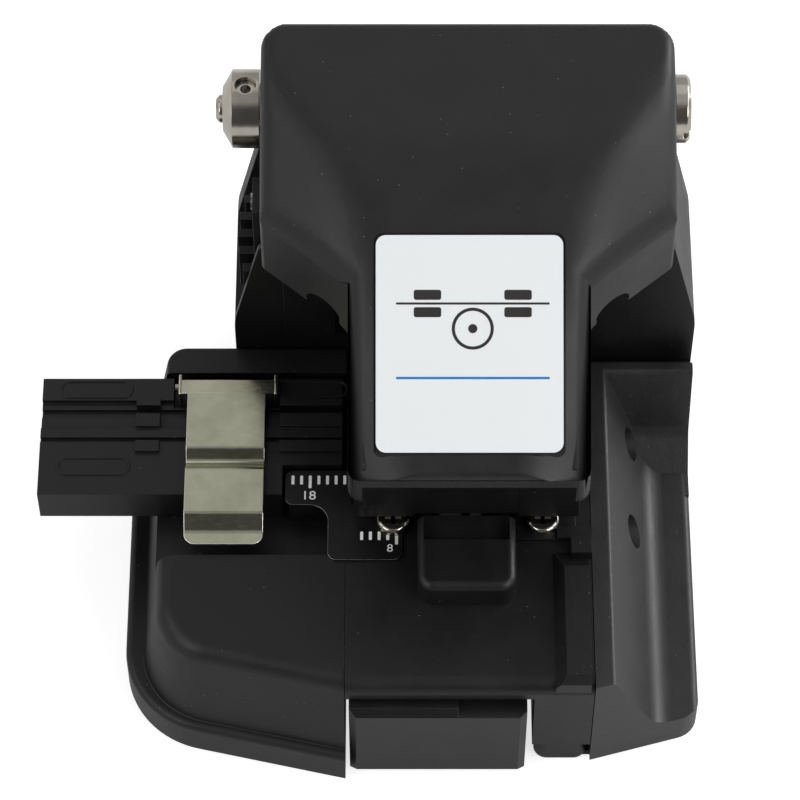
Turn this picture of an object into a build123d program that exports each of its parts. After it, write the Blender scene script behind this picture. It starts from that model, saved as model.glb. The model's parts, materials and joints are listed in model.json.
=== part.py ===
from build123d import *
from math import atan2, cos, degrees, radians, sin, sqrt, tan
import os

# Fibre cleaver. X runs along the fibre, Y to the rear and Z up, in millimetres. The origin
# is on the table, under the point where the blade's plane crosses the fibre.

# Sizes that the whole tool shares
fibre_height = 20.0
fibre_radius = 0.0625
deck_top = 18.8
deck_thickness = 2.6
frame_left = 13.9
frame_right = 14.3
frame_front = 32.0
tower_front = 13.2
tower_rear = 32.0
seam_gap = 0.1
running_gap = 0.15
shaft_play = 0.05
screw_play = 0.05
overrun = 1.0

# Rubber mat and base plate
mat_thickness = 1.0
mat_inset = 1.2
plate_thickness = 4.0
plate_inset = 0.3
plate_corner = 1.5
plate_slot_half = 2.4
wing_tongue_front = 1.0
wing_tongue_rear = 10.0
left_tongue_end = 34.0
right_tongue_end = 18.6
wing_boss_radius = 2.6

# Pusher channel
channel_right = 7.6
channel_top = deck_top - deck_thickness
left_web = 1.0
blade_slot_half = 1.3

# Pusher
block_proud = 1.7
block_depth = 6.0
block_lift = 1.2
block_gap_left = 0.5
block_gap_right = 0.8
block_gap_top = 0.5
block_chamfer = 0.8
block_rebate_depth = 0.7
block_rebate_end = 1.0
shelf_depth = 3.5
shelf_thickness = 1.9
stroke = 24.0

# Blade and its carriage
blade_radius = 9.0
blade_thickness = 1.0
blade_bevel = 0.35
blade_rest = 14.0
blade_bore = 2.4
hub_radius = 4.4
hub_left = 1.7
hub_right = 0.8
axle_radius = 1.5
axle_head_radius = 2.4
axle_head = 0.9
carriage_gap = 0.8
carriage_right_gap = 0.9
carriage_bottom = 7.9
carriage_height = 5.7
carriage_rear_run = 5.3
carriage_corner = 1.2
window_left = 3.0
window_right = 2.0
window_play = 0.6
lock_screw_radius = 0.9

# Rails and runners
rail_width = 4.0
rail_height = 2.0
rail_groove = 0.6
rail_front = 3.0
rail_rear = 29.4
rail_left_x = 8.6
rail_right_x = 4.4
runner_length = 8.0
runner_lift = 0.5
runner_cheek = 1.0

# Blade hood on the deck
hood_half = 5.6
hood_front = 21.3
hood_height = 4.0
hood_roof = 1.5
hood_wall = 1.6
hood_corner = 1.8
hood_round = 1.0
well_front = 15.0
well_rim = 0.7
well_rear = 12.0

# Guide bar, boss and step on the right of the deck
bar_left = 9.9
bar_right = 13.9
bar_rear = 14.5
bar_height = 1.7
bar_slope = 1.2
bar_tail = 2.6
boss_left = 12.0
boss_front = 15.2
boss_rear = 12.9
boss_height = 1.4
step_left = 10.4
step_depth = 1.5
step_height = 0.8
deck_round = 1.8

# Rear tower
tower_half = 27.0
tower_top_half = 23.6
tower_top = 40.5
tower_kink = 25.0
tower_kink_round = 14.0
tower_top_round = 1.2
tower_edge = 1.6
tower_cavity_rear = 29.6
tower_cavity_top_gap = 0.6
panel_left = 21.1
panel_right = 15.1
panel_bottom = 22.8
panel_top = 36.0
panel_proud = 0.8
panel_corner = 1.4
ledge_front = 9.2
ledge_top = 20.0
groove_front = 11.4
groove_floor = 16.4

# Hinge
hinge_y = 26.7
hinge_z = 48.5
pin_radius = 1.6
lug_radius = 3.5
lug_inner = 4.6
lug_end_gap = 1.2
lug_foot_rear = 1.0
collar_radius = 4.5
collar_width = 3.1
collar_cone = 1.1
collar_nose_radius = 2.6
collar_screw_radius = 1.2
pin_proud = 0.8
head_radius = 3.9
head_width = 1.8
head_slot = 1.0
head_slot_depth = 0.8
head_chamfer = 0.4
washer_radius = 2.9
washer_thickness = 0.3
spring_wire = 0.35
spring_turns = 8
spring_play = 0.15

# Lid
lid_half = 23.2
lid_rear = 32.0
lid_top = 58.5
lid_wall = 1.6
lid_bend_y = 12.15
lid_shoulder_front = 9.8
tongue_half = 13.35
tongue_neck = 1.4
tongue_front = 17.9
tongue_nose_z = 41.4
tongue_lip_z = 39.2
tongue_ear_z = 35.0
tongue_ear_run = 13.0
parting_z = 41.3
lid_corner = 3.2
tongue_corner = 1.6
lid_rear_round = 1.8
lid_bend_round = 9.0
nose_round = 1.4
hinge_swing_gap = 0.5
rear_wall_lift = 1.0
crease_rear_y = 25.5
crease_front_half = 14.6
neck_crease_half = 13.0
neck_crease_y = 5.3
ridge_z = 52.0
arch_x = 16.2
arch_radius = 1.9
arch_rise = 0.6
shoulder_round = 1.2
tongue_round = 1.6

# Label on the tongue
label_width = 21.0
label_length = 24.3
label_centre_y = 5.2
label_recess = 0.35
label_gap = 0.25
label_corner = 1.1
label_thickness = 0.3

# Upper clamps that hang in the lid
clamp_inner = 5.9
clamp_outer = 12.9
clamp_neck_outer = 11.3
clamp_front = 11.0
clamp_rear = 8.0
clamp_bottom = 20.6
clamp_shoulder = 34.0
clamp_edge = 0.5
pad_inner = 6.4
pad_outer = 11.6
pad_half_depth = 3.5
roof_gap = 0.1
carrier_screw_radius = 1.0
carrier_screw_head = 1.9
carrier_screw_head_height = 1.1
carrier_screw_y = 7.0
carrier_screw_length = 5.0

# Anvil
anvil_pivot_y = 6.5
anvil_pivot_z = 33.0
anvil_pin_radius = 1.0
anvil_boss = 2.6
anvil_half = 1.8
anvil_foot_half = 1.6
anvil_foot_top = 3.0
anvil_pad_thickness = 1.0
anvil_pin_reach = 2.2

# Lower clamps on the deck
lower_outer = 12.6
lower_inner = 5.4
lower_rear = 8.0
lower_front_left = 7.6
lower_front_right = 12.9
lower_foot = 0.4
lower_body_front = 4.6
lower_body = 0.6
magnet_radius = 1.7
magnet_height = 1.0
magnet_y = 6.0
magnet_gap = 0.05

# Scale plate
scale_thickness = 0.4
scale_left = 20.9
scale_rear = 3.7
scale_mid = 8.3
scale_front = 15.6
scale_right = 7.4
scale_neck = 13.9
scale_corner = 1.0
scale_cove = 2.2
scale_overlap_right = 13.2

# Pan-head screws on the deck
pan_radius = 1.9
pan_height = 1.1
pan_crown = 0.5
pan_cross_width = 0.5
pan_cross_depth = 0.6
pan_shank = 1.0
pan_length = 2.4
left_screw_x = 8.4
right_screw_x = 8.8
deck_screw_y = 10.6

# Left wing
wing_left = 39.6
wing_front = 34.4
wing_slant = 12.7
wing_corner = 11.0
wing_rear_corner = 2.3
flange_top = 6.2
flange_round = 0.9
body_inset_side = 2.2
body_inset_front = 1.1
body_draft = 10.0
body_corner = 9.0
body_round = 2.6
ledge_edge = 0.6
wing_wall = 2.0
wing_ceiling = 12.4
pocket_floor = 14.9
pocket_front = 14.7
wing_rear_gap = 0.3
scale_rest_left = 20.4
scale_rest_rear = 3.9
scale_rest_front = 8.1

# Right wing
right_end = 27.0
right_front_slant = 15.5
right_corner = 3.0
shelf_half_width = 2.3
wall_angle = 68.0
ledge_z = 5.8
ledge_round = 3.0
back_wall_foot = 3.9
back_wall_mid_y = 8.0
back_wall_mid_z = 9.0
back_wall_top = 10.1
back_round = 3.0
right_wall = 2.0
right_inner = 1.5
bin_hole_radius = 2.0
bin_hole_z = 10.6
bin_hole_front = 6.9
bin_hole_rear = 5.1
shelf_round = 0.6

# Fibre adapter
adapter_left = 49.5
adapter_right = 14.3
adapter_front = 7.4
adapter_rear = 8.4
adapter_notch_x = 21.2
adapter_notch_y = 3.4
adapter_gap = 0.1
groove_900_y = 3.9
groove_900_width = 1.1
groove_250_width = 0.6
groove_depth = 0.5
channel_front_y = 1.6
channel_rear_y = 5.4
channel_depth = 0.6
rib_right_end = 21.6
bridge_left = 38.4
bridge_right = 35.6
bridge_length = 1.5
bridge_height = 0.45
pill_length = 8.6
pill_width = 2.5
pill_line = 0.3
pill_depth = 0.15
pill_x = 43.2
pill_rear_y = 6.9
pill_front_y = 3.6
adapter_magnet_radius = 2.0
adapter_magnet_height = 1.5
adapter_magnet_xs = (30.0, 18.0)

# Clip
clip_right = 23.4
clip_width = 9.1
clip_ear_width = 12.0
clip_steel = 0.35
clip_pin_y = 7.0
clip_pin_z = 20.2
clip_pin_radius = 0.45
clip_ear_run = 1.9
clip_rear_run = 1.2
clip_flat_z = 1.2
clip_press_y = 1.3
clip_press_z = 0.3
clip_land_y = 3.2
clip_second_y = 3.9
clip_second_z = 1.3
clip_brow_y = 10.2
clip_tip_y = 13.4
clip_tip_drop = 1.3
clip_bend = 0.5
clip_corner = 1.2

# Side lock
recess_x = 23.4
recess_front = 13.9
recess_rear = 28.3
recess_floor = 24.0
lock_gap = 0.1
lock_plate = 0.8
lock_front = 14.1
lock_rear = 25.0
lock_bottom = 24.6
lock_plate_top = 37.4
lock_strip_front = 14.5
lock_strip_rear = 19.5
lock_strip_top = 45.2
lock_ribs = 5
lock_rib_pitch = 2.4
lock_rib_width = 1.1
lock_rib_bottom = 27.8
lock_rib_top = 34.2
lock_rib_proud = 1.4
lock_rib_bulge = 0.7
lock_travel = 3.0
lock_pin_radius = 0.8
lock_pin_z = 43.4
lock_slot_play = 0.3
lock_mouth_flare = 1.4
rivet_radius = 0.8
rivet_head = 1.2
rivet_head_height = 0.5
rivet_length = 3.0
rivet_rise = 1.6
rivet_inset = 2.5

# Flat-head screws under the plate
flat_head = 1.9
flat_head_depth = 1.1
flat_shank = 1.0
flat_length = 7.0

plate_top = mat_thickness + plate_thickness
lock_pin_y = (lock_strip_front + lock_strip_rear) / 2
rivet_y = lock_rear - rivet_inset
rivet_heights = (lock_bottom + rivet_rise, lock_plate_top - rivet_rise)
block_front = frame_front + block_proud
block_rear = block_front - block_depth
block_top = channel_top - block_gap_top
block_left = frame_left - block_gap_left
block_right = channel_right - block_gap_right
notch_rear = block_rear - stroke - overrun / 2
blade_z = fibre_height - blade_radius
carriage_top = carriage_bottom + carriage_height
carriage_left = frame_left - seam_gap - left_web - carriage_gap
carriage_right = channel_right - carriage_right_gap
web_front = notch_rear - running_gap
roof_slope = degrees(atan2(lid_top - tongue_nose_z, lid_bend_y + tongue_front))
clip_left = clip_right + clip_width


def inner_round(radius, wall):
    """Radius of a rounded corner on the inside of a wall, down to a sharp corner."""
    return max(radius - wall, 0)


def block(low, high):
    """Box from its low corner to its high corner."""
    size = [top - bottom for bottom, top in zip(low, high)]
    return Pos(*low) * Box(*size, align=(Align.MIN, Align.MIN, Align.MIN))


def outline(points, radii=0):
    """Flat face whose corners are rounded by the radii, in the XY plane."""
    if radii == 0:
        return make_face(Polyline(*points, close=True))
    return make_face(FilletPolyline(*points, radius=radii, close=True))


def upright(face, low, high):
    """Face drawn in X and Y, pulled up from one height to another."""
    return extrude(Pos(0, 0, low) * face, amount=high - low)


def across(face, left, right):
    """Face drawn in Y and Z, pulled along X."""
    return extrude(Plane.YZ.offset(left) * face, amount=right - left)


def along(face, front, rear):
    """Face drawn in X and Z, pulled along Y."""
    plane = Plane(origin=(0, front, 0), x_dir=(1, 0, 0), z_dir=(0, -1, 0))
    return extrude(plane * face, amount=front - rear)


def rod_x(radius, left, right, y, z):
    """Round bar along X."""
    return Pos(left, y, z) * Rot(0, 90, 0) * Cylinder(
        radius, right - left, align=(Align.CENTER, Align.CENTER, Align.MIN)
    )


def rod_z(radius, bottom, top, x, y):
    """Round bar along Z."""
    return Pos(x, y, bottom) * Cylinder(radius, top - bottom, align=(Align.CENTER, Align.CENTER, Align.MIN))


def cone_z(bottom_radius, top_radius, bottom, top, x, y):
    """Cone along Z."""
    return Pos(x, y, bottom) * Cone(
        bottom_radius, top_radius, top - bottom, align=(Align.CENTER, Align.CENTER, Align.MIN)
    )


def group(*solids):
    """Several separate solids of one node."""
    return Compound(children=[solid for shape in solids for solid in shape.solids()])


# Outlines in plan

def left_wing_plan():
    """Foot of the left wing, with the slanted front and the large hand corner."""
    slant = tan(radians(wing_slant))
    corner_y = -wing_front + (wing_left - frame_left) * slant
    rear = tower_front - wing_rear_gap
    return outline(
        [(-frame_left, -wing_front), (-frame_left, rear), (-wing_left, rear), (-wing_left, corner_y)],
        [0, 0, wing_rear_corner, wing_corner],
    )


def right_wing_plan():
    """Foot of the right wing, with its slanted front."""
    left = frame_right + seam_gap
    slant = tan(radians(right_front_slant))
    corner_y = -frame_front + (right_end - left) * slant
    rear = tower_front - seam_gap
    return outline(
        [(left, -frame_front), (right_end, corner_y), (right_end, rear), (left, rear)],
        [0, right_corner, 0, 0],
    )


def plate_plan():
    """Base plate with the open notch for the pusher and a tongue into each wing."""
    column_left = channel_right + plate_inset
    column_right = frame_right - plate_inset
    left = -frame_left + plate_inset
    wide = tower_half - plate_inset
    front = -frame_front + plate_inset
    step = tower_front + plate_inset
    rear = tower_rear - plate_inset
    points = [
        (column_left, front),
        (column_right, front),
        (column_right, wing_tongue_front),
        (right_tongue_end, wing_tongue_front),
        (right_tongue_end, wing_tongue_rear),
        (column_right, wing_tongue_rear),
        (column_right, step),
        (wide, step),
        (wide, rear),
        (-wide, rear),
        (-wide, step),
        (left, step),
        (left, wing_tongue_rear),
        (-left_tongue_end, wing_tongue_rear),
        (-left_tongue_end, wing_tongue_front),
        (left, wing_tongue_front),
        (left, -notch_rear),
        (column_left, -notch_rear),
    ]
    round_at = {0: plate_corner, 1: plate_corner, 8: plate_corner, 9: plate_corner}
    return outline(points, [round_at.get(place, 0) for place in range(len(points))])


# Places of the screws under the plate
wing_screw_y = (wing_tongue_front + wing_tongue_rear) / 2
left_boss_x = -(left_tongue_end + frame_left) / 2
right_boss_x = (right_tongue_end + frame_right) / 2
column_x = (channel_right + frame_right) / 2
tower_screw_x = (frame_left + tower_half) / 2
tower_screw_y = (tower_front + tower_rear) / 2
base_screw_places = [
    (column_x, -frame_front + block_depth),
    (column_x, -notch_rear),
    (tower_screw_x, tower_screw_y),
    (-tower_screw_x, tower_screw_y),
    (left_boss_x, wing_screw_y),
    (right_boss_x, wing_screw_y),
]


def base_screw(x, y, play=0.0, reach=0.0):
    """Flat-head screw that points up, or the room that it needs."""
    head = cone_z(
        flat_head + play, flat_shank + play, mat_thickness, mat_thickness + flat_head_depth, x, y
    )
    return head + rod_z(flat_shank + play, mat_thickness, mat_thickness + flat_length + reach, x, y)


def base_screws():
    return group(*[base_screw(x, y) for x, y in base_screw_places])


def base_plate():
    plate = upright(plate_plan(), mat_thickness, plate_top)
    slot_rear = -blade_rest + stroke + blade_radius + window_play
    plate -= block(
        (-plate_slot_half, -notch_rear - overrun, mat_thickness - overrun),
        (plate_slot_half, slot_rear, plate_top + overrun),
    )
    for x, y in base_screw_places:
        plate -= base_screw(x, y, screw_play)
    return plate


def rubber_mat():
    """Sheet under the plate and both wings, with the same open notch at the front."""
    middle = outline([
        (-tower_half, tower_front - overrun),
        (-tower_half, tower_rear),
        (tower_half, tower_rear),
        (tower_half, tower_front - overrun),
    ])
    centre = outline([
        (-frame_left - overrun, -frame_front),
        (-frame_left - overrun, tower_front),
        (frame_right + overrun, tower_front),
        (frame_right + overrun, -frame_front),
    ])
    plan = left_wing_plan() + right_wing_plan() + middle + centre
    mat = offset(upright(plan, 0, mat_thickness).faces().sort_by(Axis.Z)[0], amount=-mat_inset)
    sheet = extrude(mat.faces()[0], amount=mat_thickness, dir=(0, 0, 1))
    notch = block(
        (-frame_left - mat_inset, -frame_front - wing_front, -overrun),
        (channel_right + mat_inset, -notch_rear + mat_inset, mat_thickness + overrun),
    )
    return sheet - notch


def hood():
    """Blade hood with rounded corners, an open well behind it and low rims beside the well."""
    top = deck_top + hood_height
    plan = outline(
        [(-hood_half, -hood_front), (hood_half, -hood_front), (hood_half, -well_rear), (-hood_half, -well_rear)],
        [hood_corner, hood_corner, 0, 0],
    )
    body = upright(plan, deck_top - overrun / 2, top)
    body = fillet(body.edges().group_by(Axis.Z)[-1].filter_by(lambda e: e.center().Y < -well_rear), hood_round)
    inside = hood_half - hood_wall
    body -= block(
        (-inside, -hood_front + hood_wall, deck_top - overrun), (inside, -well_rear + overrun, top - hood_roof)
    )
    rim = hood_half - well_rim
    body -= block((-rim, -well_front, deck_top), (rim, -well_rear + overrun, top + overrun))
    return body


def guide_bar():
    """Low bar on the deck with a sloped left side and a tail that runs out to the rear."""
    top = deck_top + bar_height
    section = outline([
        (bar_left, deck_top - overrun),
        (bar_left, deck_top),
        (bar_left + bar_slope, top),
        (bar_right, top),
        (bar_right, deck_top - overrun),
    ])
    side = outline([
        (-frame_front, deck_top - overrun),
        (-frame_front, top - deck_round / 2),
        (-frame_front + deck_round / 2, top),
        (-bar_rear - bar_tail, top),
        (-bar_rear, deck_top),
        (-bar_rear, deck_top - overrun),
    ])
    return along(section, -frame_front, -bar_rear) & across(side, bar_left, bar_right)


def centre_frame():
    rear = tower_front - seam_gap
    right = frame_right
    side = outline(
        [(-frame_front, channel_top), (-frame_front, deck_top), (rear, deck_top), (rear, channel_top)],
        [0, deck_round, 0, 0],
    )
    frame = across(side, -frame_left + seam_gap, right)
    frame += block((channel_right, -frame_front, plate_top), (right, rear, channel_top))
    frame += block(
        (-frame_left + seam_gap, -web_front, plate_top), (-frame_left + seam_gap + left_web, rear, channel_top)
    )
    frame += guide_bar()
    frame += block((boss_left, -boss_front, deck_top), (right, -boss_rear, deck_top + boss_height))
    frame += block((step_left, -boss_rear, deck_top), (right, -boss_rear + step_depth, deck_top + step_height))
    frame += hood()
    inside = hood_half - hood_wall
    frame -= block(
        (-inside, -hood_front + hood_wall, channel_top - overrun), (inside, rear + overrun, deck_top + overrun / 2)
    )
    frame -= rod_x(blade_radius + window_play, -blade_slot_half, blade_slot_half, -blade_rest, blade_z)
    for x, y in base_screw_places[:2]:
        frame -= base_screw(x, y, screw_play, screw_play)
    for x in (-left_screw_x, right_screw_x):
        frame -= rod_z(pan_shank + screw_play, deck_top - pan_length - screw_play, deck_top + overrun, x, -deck_screw_y)
    return frame


def tower_section():
    """Front outline of the tower: upright flanks that lean in above the kink."""
    return outline(
        [
            (-tower_half, plate_top),
            (tower_half, plate_top),
            (tower_half, tower_kink),
            (tower_top_half, tower_top),
            (-tower_top_half, tower_top),
            (-tower_half, tower_kink),
        ],
        [0, 0, tower_kink_round, tower_top_round, tower_top_round, tower_kink_round],
    )


def hinge_lug(inner, outer):
    """Barrel on a stem that stands on the tower."""
    barrel = rod_x(lug_radius, inner, outer, hinge_y, hinge_z)
    stem = block(
        (inner, hinge_y - lug_radius, tower_top - overrun), (outer, hinge_y + lug_foot_rear, hinge_z)
    )
    return barrel + stem


def rear_housing():
    tower = along(tower_section(), tower_front, tower_rear)
    rear_edges = tower.edges().group_by(Axis.Y)[-1].filter_by(lambda e: e.center().Z > plate_top + overrun)
    tower = fillet(rear_edges, tower_edge)
    lug_outer = lid_half - lid_wall - lug_end_gap
    tower += hinge_lug(-lug_outer, -lug_inner)
    tower += hinge_lug(lug_inner, lug_outer)
    panel = outline(
        [(-panel_left, panel_bottom), (-panel_right, panel_bottom), (-panel_right, panel_top), (-panel_left, panel_top)],
        panel_corner,
    )
    tower += along(panel, tower_front - panel_proud, tower_front + overrun)
    cavity_top = channel_top + tower_cavity_top_gap
    tower -= block(
        (-frame_left, tower_front - overrun, plate_top - overrun), (channel_right, tower_cavity_rear, cavity_top)
    )
    blade_reach = -blade_rest + stroke + blade_radius + window_play
    inside = hood_half - hood_wall
    tower -= block(
        (-inside, tower_front - overrun, cavity_top - overrun), (inside, blade_reach, fibre_height + window_play)
    )
    tower -= block(
        (-tower_half - overrun, recess_front, recess_floor), (-recess_x, recess_rear, tower_top + overrun)
    )
    tower -= rod_x(pin_radius + shaft_play, -lid_half, lid_half, hinge_y, hinge_z)
    for x, y in base_screw_places[2:4]:
        tower -= base_screw(x, y, screw_play, screw_play)
    for z in rivet_heights:
        tower -= rod_x(
            rivet_radius + screw_play, -recess_x - overrun, -recess_x + rivet_length, rivet_y, z
        )
    return tower


def lock_rivets():
    """Headed pins in the tower that hold the side lock and let it slide."""
    face = -recess_x - lock_gap - lock_plate - lock_gap
    rivets = []
    for z in rivet_heights:
        pin = rod_x(rivet_radius, face, -recess_x + rivet_length - screw_play, rivet_y, z)
        rivets.append(pin + rod_x(rivet_head, face - rivet_head_height, face, rivet_y, z))
    return group(*rivets)


def left_body(inset, low, high):
    """Raised hand rest with drafted front and left sides, drawn in by so much at its foot."""
    slant = tan(radians(wing_slant))
    spread = (ledge_top - flange_top) * tan(radians(body_draft)) + overrun
    front = wing_front - body_inset_front - inset
    left = wing_left - body_inset_side - inset
    right = frame_left - spread
    rear = tower_front + spread
    corner_y = -front + (left - frame_left) * slant
    plan = outline(
        [(-right, -front - spread * slant), (-right, rear), (-left, rear), (-left, corner_y)],
        [0, 0, 0, body_corner - inset],
    )
    body = upright(plan, low, flange_top)
    return body + extrude(Pos(0, 0, flange_top) * plan, amount=high - flange_top, taper=body_draft)


def left_wing():
    rear = tower_front - wing_rear_gap
    flange = upright(left_wing_plan(), mat_thickness, flange_top)
    outer_rim = flange.edges().group_by(Axis.Z)[-1].filter_by(
        lambda e: e.center().X < -frame_left - overrun and e.center().Y < rear - screw_play
    )
    flange = fillet(outer_rim, flange_round)
    body = left_body(0, mat_thickness, ledge_top)
    body &= block((-wing_left, -wing_front, mat_thickness), (-frame_left, rear, ledge_top))
    back_corner = body.edges().filter_by(
        lambda e: e.center().X < -wing_left + wing_rear_corner * 3
        and abs(e.center().Y - rear) < screw_play and e.length > flange_top
    )
    body = fillet(back_corner, wing_rear_corner)
    body -= block((-wing_left, -wing_front, deck_top), (-frame_left + overrun, ledge_front, ledge_top + overrun))
    body -= block(
        (-wing_left, -pocket_front, pocket_floor), (-frame_left + overrun, ledge_front, ledge_top + overrun)
    )
    crown = body.edges().filter_by(
        lambda e: abs(e.center().Z - deck_top) < screw_play and e.center().Y < -pocket_front - screw_play
        and e.center().X < -frame_left - screw_play
    )
    body = fillet(crown, body_round)
    ledge_rim = body.edges().filter_by(
        lambda e: abs(e.center().Z - ledge_top) < screw_play and e.center().X < -frame_left - screw_play
        and e.center().Y > ledge_front + screw_play
    )
    body = fillet(ledge_rim, ledge_edge)
    wing = flange + body
    wing += block(
        (-scale_rest_left, -scale_rest_front, pocket_floor - overrun), (-frame_left, -scale_rest_rear, deck_top)
    )
    hollow = left_body(wing_wall, 0, wing_ceiling)
    hollow &= block((-wing_left, -wing_front, 0), (-frame_left - wing_wall, rear - wing_wall, wing_ceiling))
    wing -= hollow
    wing += rod_z(wing_boss_radius, plate_top, wing_ceiling + overrun, left_boss_x, wing_screw_y)
    wing -= block(
        (-frame_left - wing_wall - overrun, wing_tongue_front - screw_play, 0),
        (-frame_left + overrun, wing_tongue_rear + screw_play, plate_top),
    )
    wing -= base_screw(left_boss_x, wing_screw_y, screw_play, screw_play)
    return wing


def right_wall_x(z, wall=0.0):
    """Outer face of the sloped wall at a height, drawn in by a wall thickness."""
    rise = deck_top - z
    return frame_right + shelf_half_width + rise / tan(radians(wall_angle)) - wall / sin(radians(wall_angle))


def right_wing():
    left = frame_right + seam_gap
    front = outline(
        [
            (left, mat_thickness),
            (right_end, mat_thickness),
            (right_end, ledge_z),
            (right_wall_x(ledge_z), ledge_z),
            (right_wall_x(deck_top), deck_top),
            (left, deck_top),
        ],
        [0, 0, flange_round, ledge_round, shelf_round, 0],
    )
    wing = along(front, -frame_front, groove_front)
    side = outline(
        [
            (back_wall_foot - back_round, mat_thickness),
            (back_wall_foot - back_round, ledge_z - screw_play),
            (back_wall_foot, ledge_z - screw_play),
            (back_wall_mid_y, back_wall_mid_z),
            (back_wall_top, deck_top),
            (groove_front, deck_top),
            (groove_front, groove_floor),
            (tower_front - seam_gap, groove_floor),
            (tower_front - seam_gap, mat_thickness),
        ],
        [0, 0, 0, back_round, shelf_round, 0, 0, 0, 0],
    )
    wing += across(side, left, right_end)
    wing &= upright(right_wing_plan(), 0, deck_top + overrun)
    hollow = outline([
        (left + right_inner, 0),
        (right_wall_x(ledge_z, right_wall), 0),
        (right_wall_x(ledge_z, right_wall), ledge_z),
        (left + right_inner, right_hollow_top),
    ])
    wing -= along(hollow, -frame_front + right_wall + ledge_round, groove_front)
    wing += rod_z(wing_boss_radius, plate_top, plate_top + flat_length, right_boss_x, wing_screw_y) & across(
        outline([(wing_tongue_front, plate_top), (wing_tongue_rear, plate_top),
                 (wing_tongue_rear, bin_hole_z - bin_hole_radius), (wing_tongue_front, bin_hole_z - bin_hole_radius)]),
        left,
        right_boss_x + wing_boss_radius,
    )
    wing -= block(
        (left - overrun, wing_tongue_front - screw_play, 0),
        (right_tongue_end + screw_play, wing_tongue_rear + screw_play, plate_top),
    )
    wing -= base_screw(right_boss_x, wing_screw_y, screw_play)
    for y in (-bin_hole_front, bin_hole_rear):
        wing -= rod_x(bin_hole_radius, left + right_inner, right_end + overrun, y, bin_hole_z)
    return wing


right_hollow_top = deck_top - (
    (frame_right + seam_gap + right_inner) - right_wall_x(deck_top, right_wall)
) * tan(radians(wall_angle))


def linear_rails():
    """Two grooved rails on the plate."""
    rails = []
    for x in (-rail_left_x, rail_right_x):
        half = rail_width / 2
        waist = half - rail_groove
        section = outline([
            (x - half, plate_top),
            (x + half, plate_top),
            (x + waist, plate_top + rail_height / 2),
            (x + half, plate_top + rail_height),
            (x - half, plate_top + rail_height),
            (x - waist, plate_top + rail_height / 2),
        ])
        rails.append(along(section, -rail_front, rail_rear))
    return group(*rails)


def rail_runners():
    """Saddles that ride on the rails and carry the blade's carriage."""
    runners = []
    for x in (-rail_left_x, rail_right_x):
        half = rail_width / 2 + running_gap
        outer = half + runner_cheek
        low = plate_top + runner_lift
        inner_top = plate_top + rail_height + running_gap
        section = outline([
            (x - outer, low), (x - half, low), (x - half, inner_top), (x + half, inner_top),
            (x + half, low), (x + outer, low), (x + outer, carriage_bottom), (x - outer, carriage_bottom),
        ])
        front = -rail_front + running_gap
        runners.append(along(section, front, front + runner_length))
    return group(*runners)


def slider_block():
    """Pusher with chamfered top edges, a rebate at the top right and a shelf over the carriage."""
    body = block((-block_left, -block_front, block_lift), (block_right, -block_rear, block_top))
    front_edges = body.edges().filter_by(lambda e: abs(e.center().Y + block_front) < screw_play)
    body = chamfer(front_edges, block_chamfer)
    body += block(
        (-carriage_left, -block_rear - overrun, carriage_top),
        (carriage_right, -block_rear + shelf_depth, carriage_top + shelf_thickness),
    )
    body -= block(
        (-block_rebate_end, -block_front - overrun, block_top - block_rebate_depth),
        (block_right + overrun, -block_rear + shelf_depth + overrun, block_top + overrun),
    )
    for x in carriage_screw_xs:
        body -= carriage_screw(x, screw_play)
    return body


carriage_screw_y = -block_rear + shelf_depth / 2
carriage_screw_xs = (-(carriage_left + window_left) / 2, (carriage_right + window_right) / 2)


def carriage_screw(x, play=0.0):
    """Flat-head screw that points down through the pusher's shelf."""
    top = carriage_top + shelf_thickness - block_rebate_depth
    head = cone_z(flat_shank + play, flat_head + play, top - flat_head_depth, top, x, carriage_screw_y)
    return head + rod_z(flat_shank + play, top - flat_length + overrun, top, x, carriage_screw_y)


def carriage_screws():
    return group(*[carriage_screw(x) for x in carriage_screw_xs])


def blade_carriage():
    """Frame round the blade, with bores for the axle and the lock screw."""
    front = -block_rear
    rear = carriage_rear_run
    plan = outline(
        [(-carriage_left, front), (carriage_right, front), (carriage_right, rear), (-carriage_left, rear)],
        [0, 0, carriage_corner, carriage_corner],
    )
    body = upright(plan, carriage_bottom, carriage_top)
    reach = blade_radius + window_play
    body -= block(
        (-window_left, -blade_rest - reach, carriage_bottom - overrun),
        (window_right, -blade_rest + reach, carriage_top + overrun),
    )
    body -= rod_x(axle_radius + screw_play, -axle_left - screw_play, axle_right + screw_play, -blade_rest, blade_z)
    body -= rod_x(axle_head_radius + screw_play, -axle_left - screw_play, -axle_left + axle_head, -blade_rest, blade_z)
    body -= rod_z(lock_screw_radius + screw_play, blade_z, carriage_top + overrun, lock_screw_x, -blade_rest)
    for x in carriage_screw_xs:
        body -= carriage_screw(x, screw_play)
    return body


axle_left = carriage_left
axle_right = carriage_right - axle_head
lock_screw_x = (carriage_right + window_right) / 2


def blade_axle():
    """Axle with a head, through the carriage and the blade's hub."""
    shaft = rod_x(axle_radius, -axle_left, axle_right, -blade_rest, blade_z)
    return shaft + rod_x(axle_head_radius, -axle_left, -axle_left + axle_head - screw_play, -blade_rest, blade_z)


def blade_lock_screw():
    """Set screw that stands on the axle."""
    low = blade_z + axle_radius
    screw = rod_z(lock_screw_radius, low, carriage_top - screw_play, lock_screw_x, -blade_rest)
    socket = rod_z(lock_screw_radius / 2, carriage_top - lock_screw_radius, carriage_top, lock_screw_x, -blade_rest)
    return screw - socket


def blade_wheel():
    """Round blade whose rim is ground to an edge from both sides."""
    half = blade_thickness / 2
    disc = rod_x(blade_radius, -half, half, -blade_rest, blade_z)
    disc = chamfer(disc.edges(), length=blade_bevel, length2=half - screw_play)
    return disc - rod_x(blade_bore, -half - overrun, half + overrun, -blade_rest, blade_z)


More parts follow.
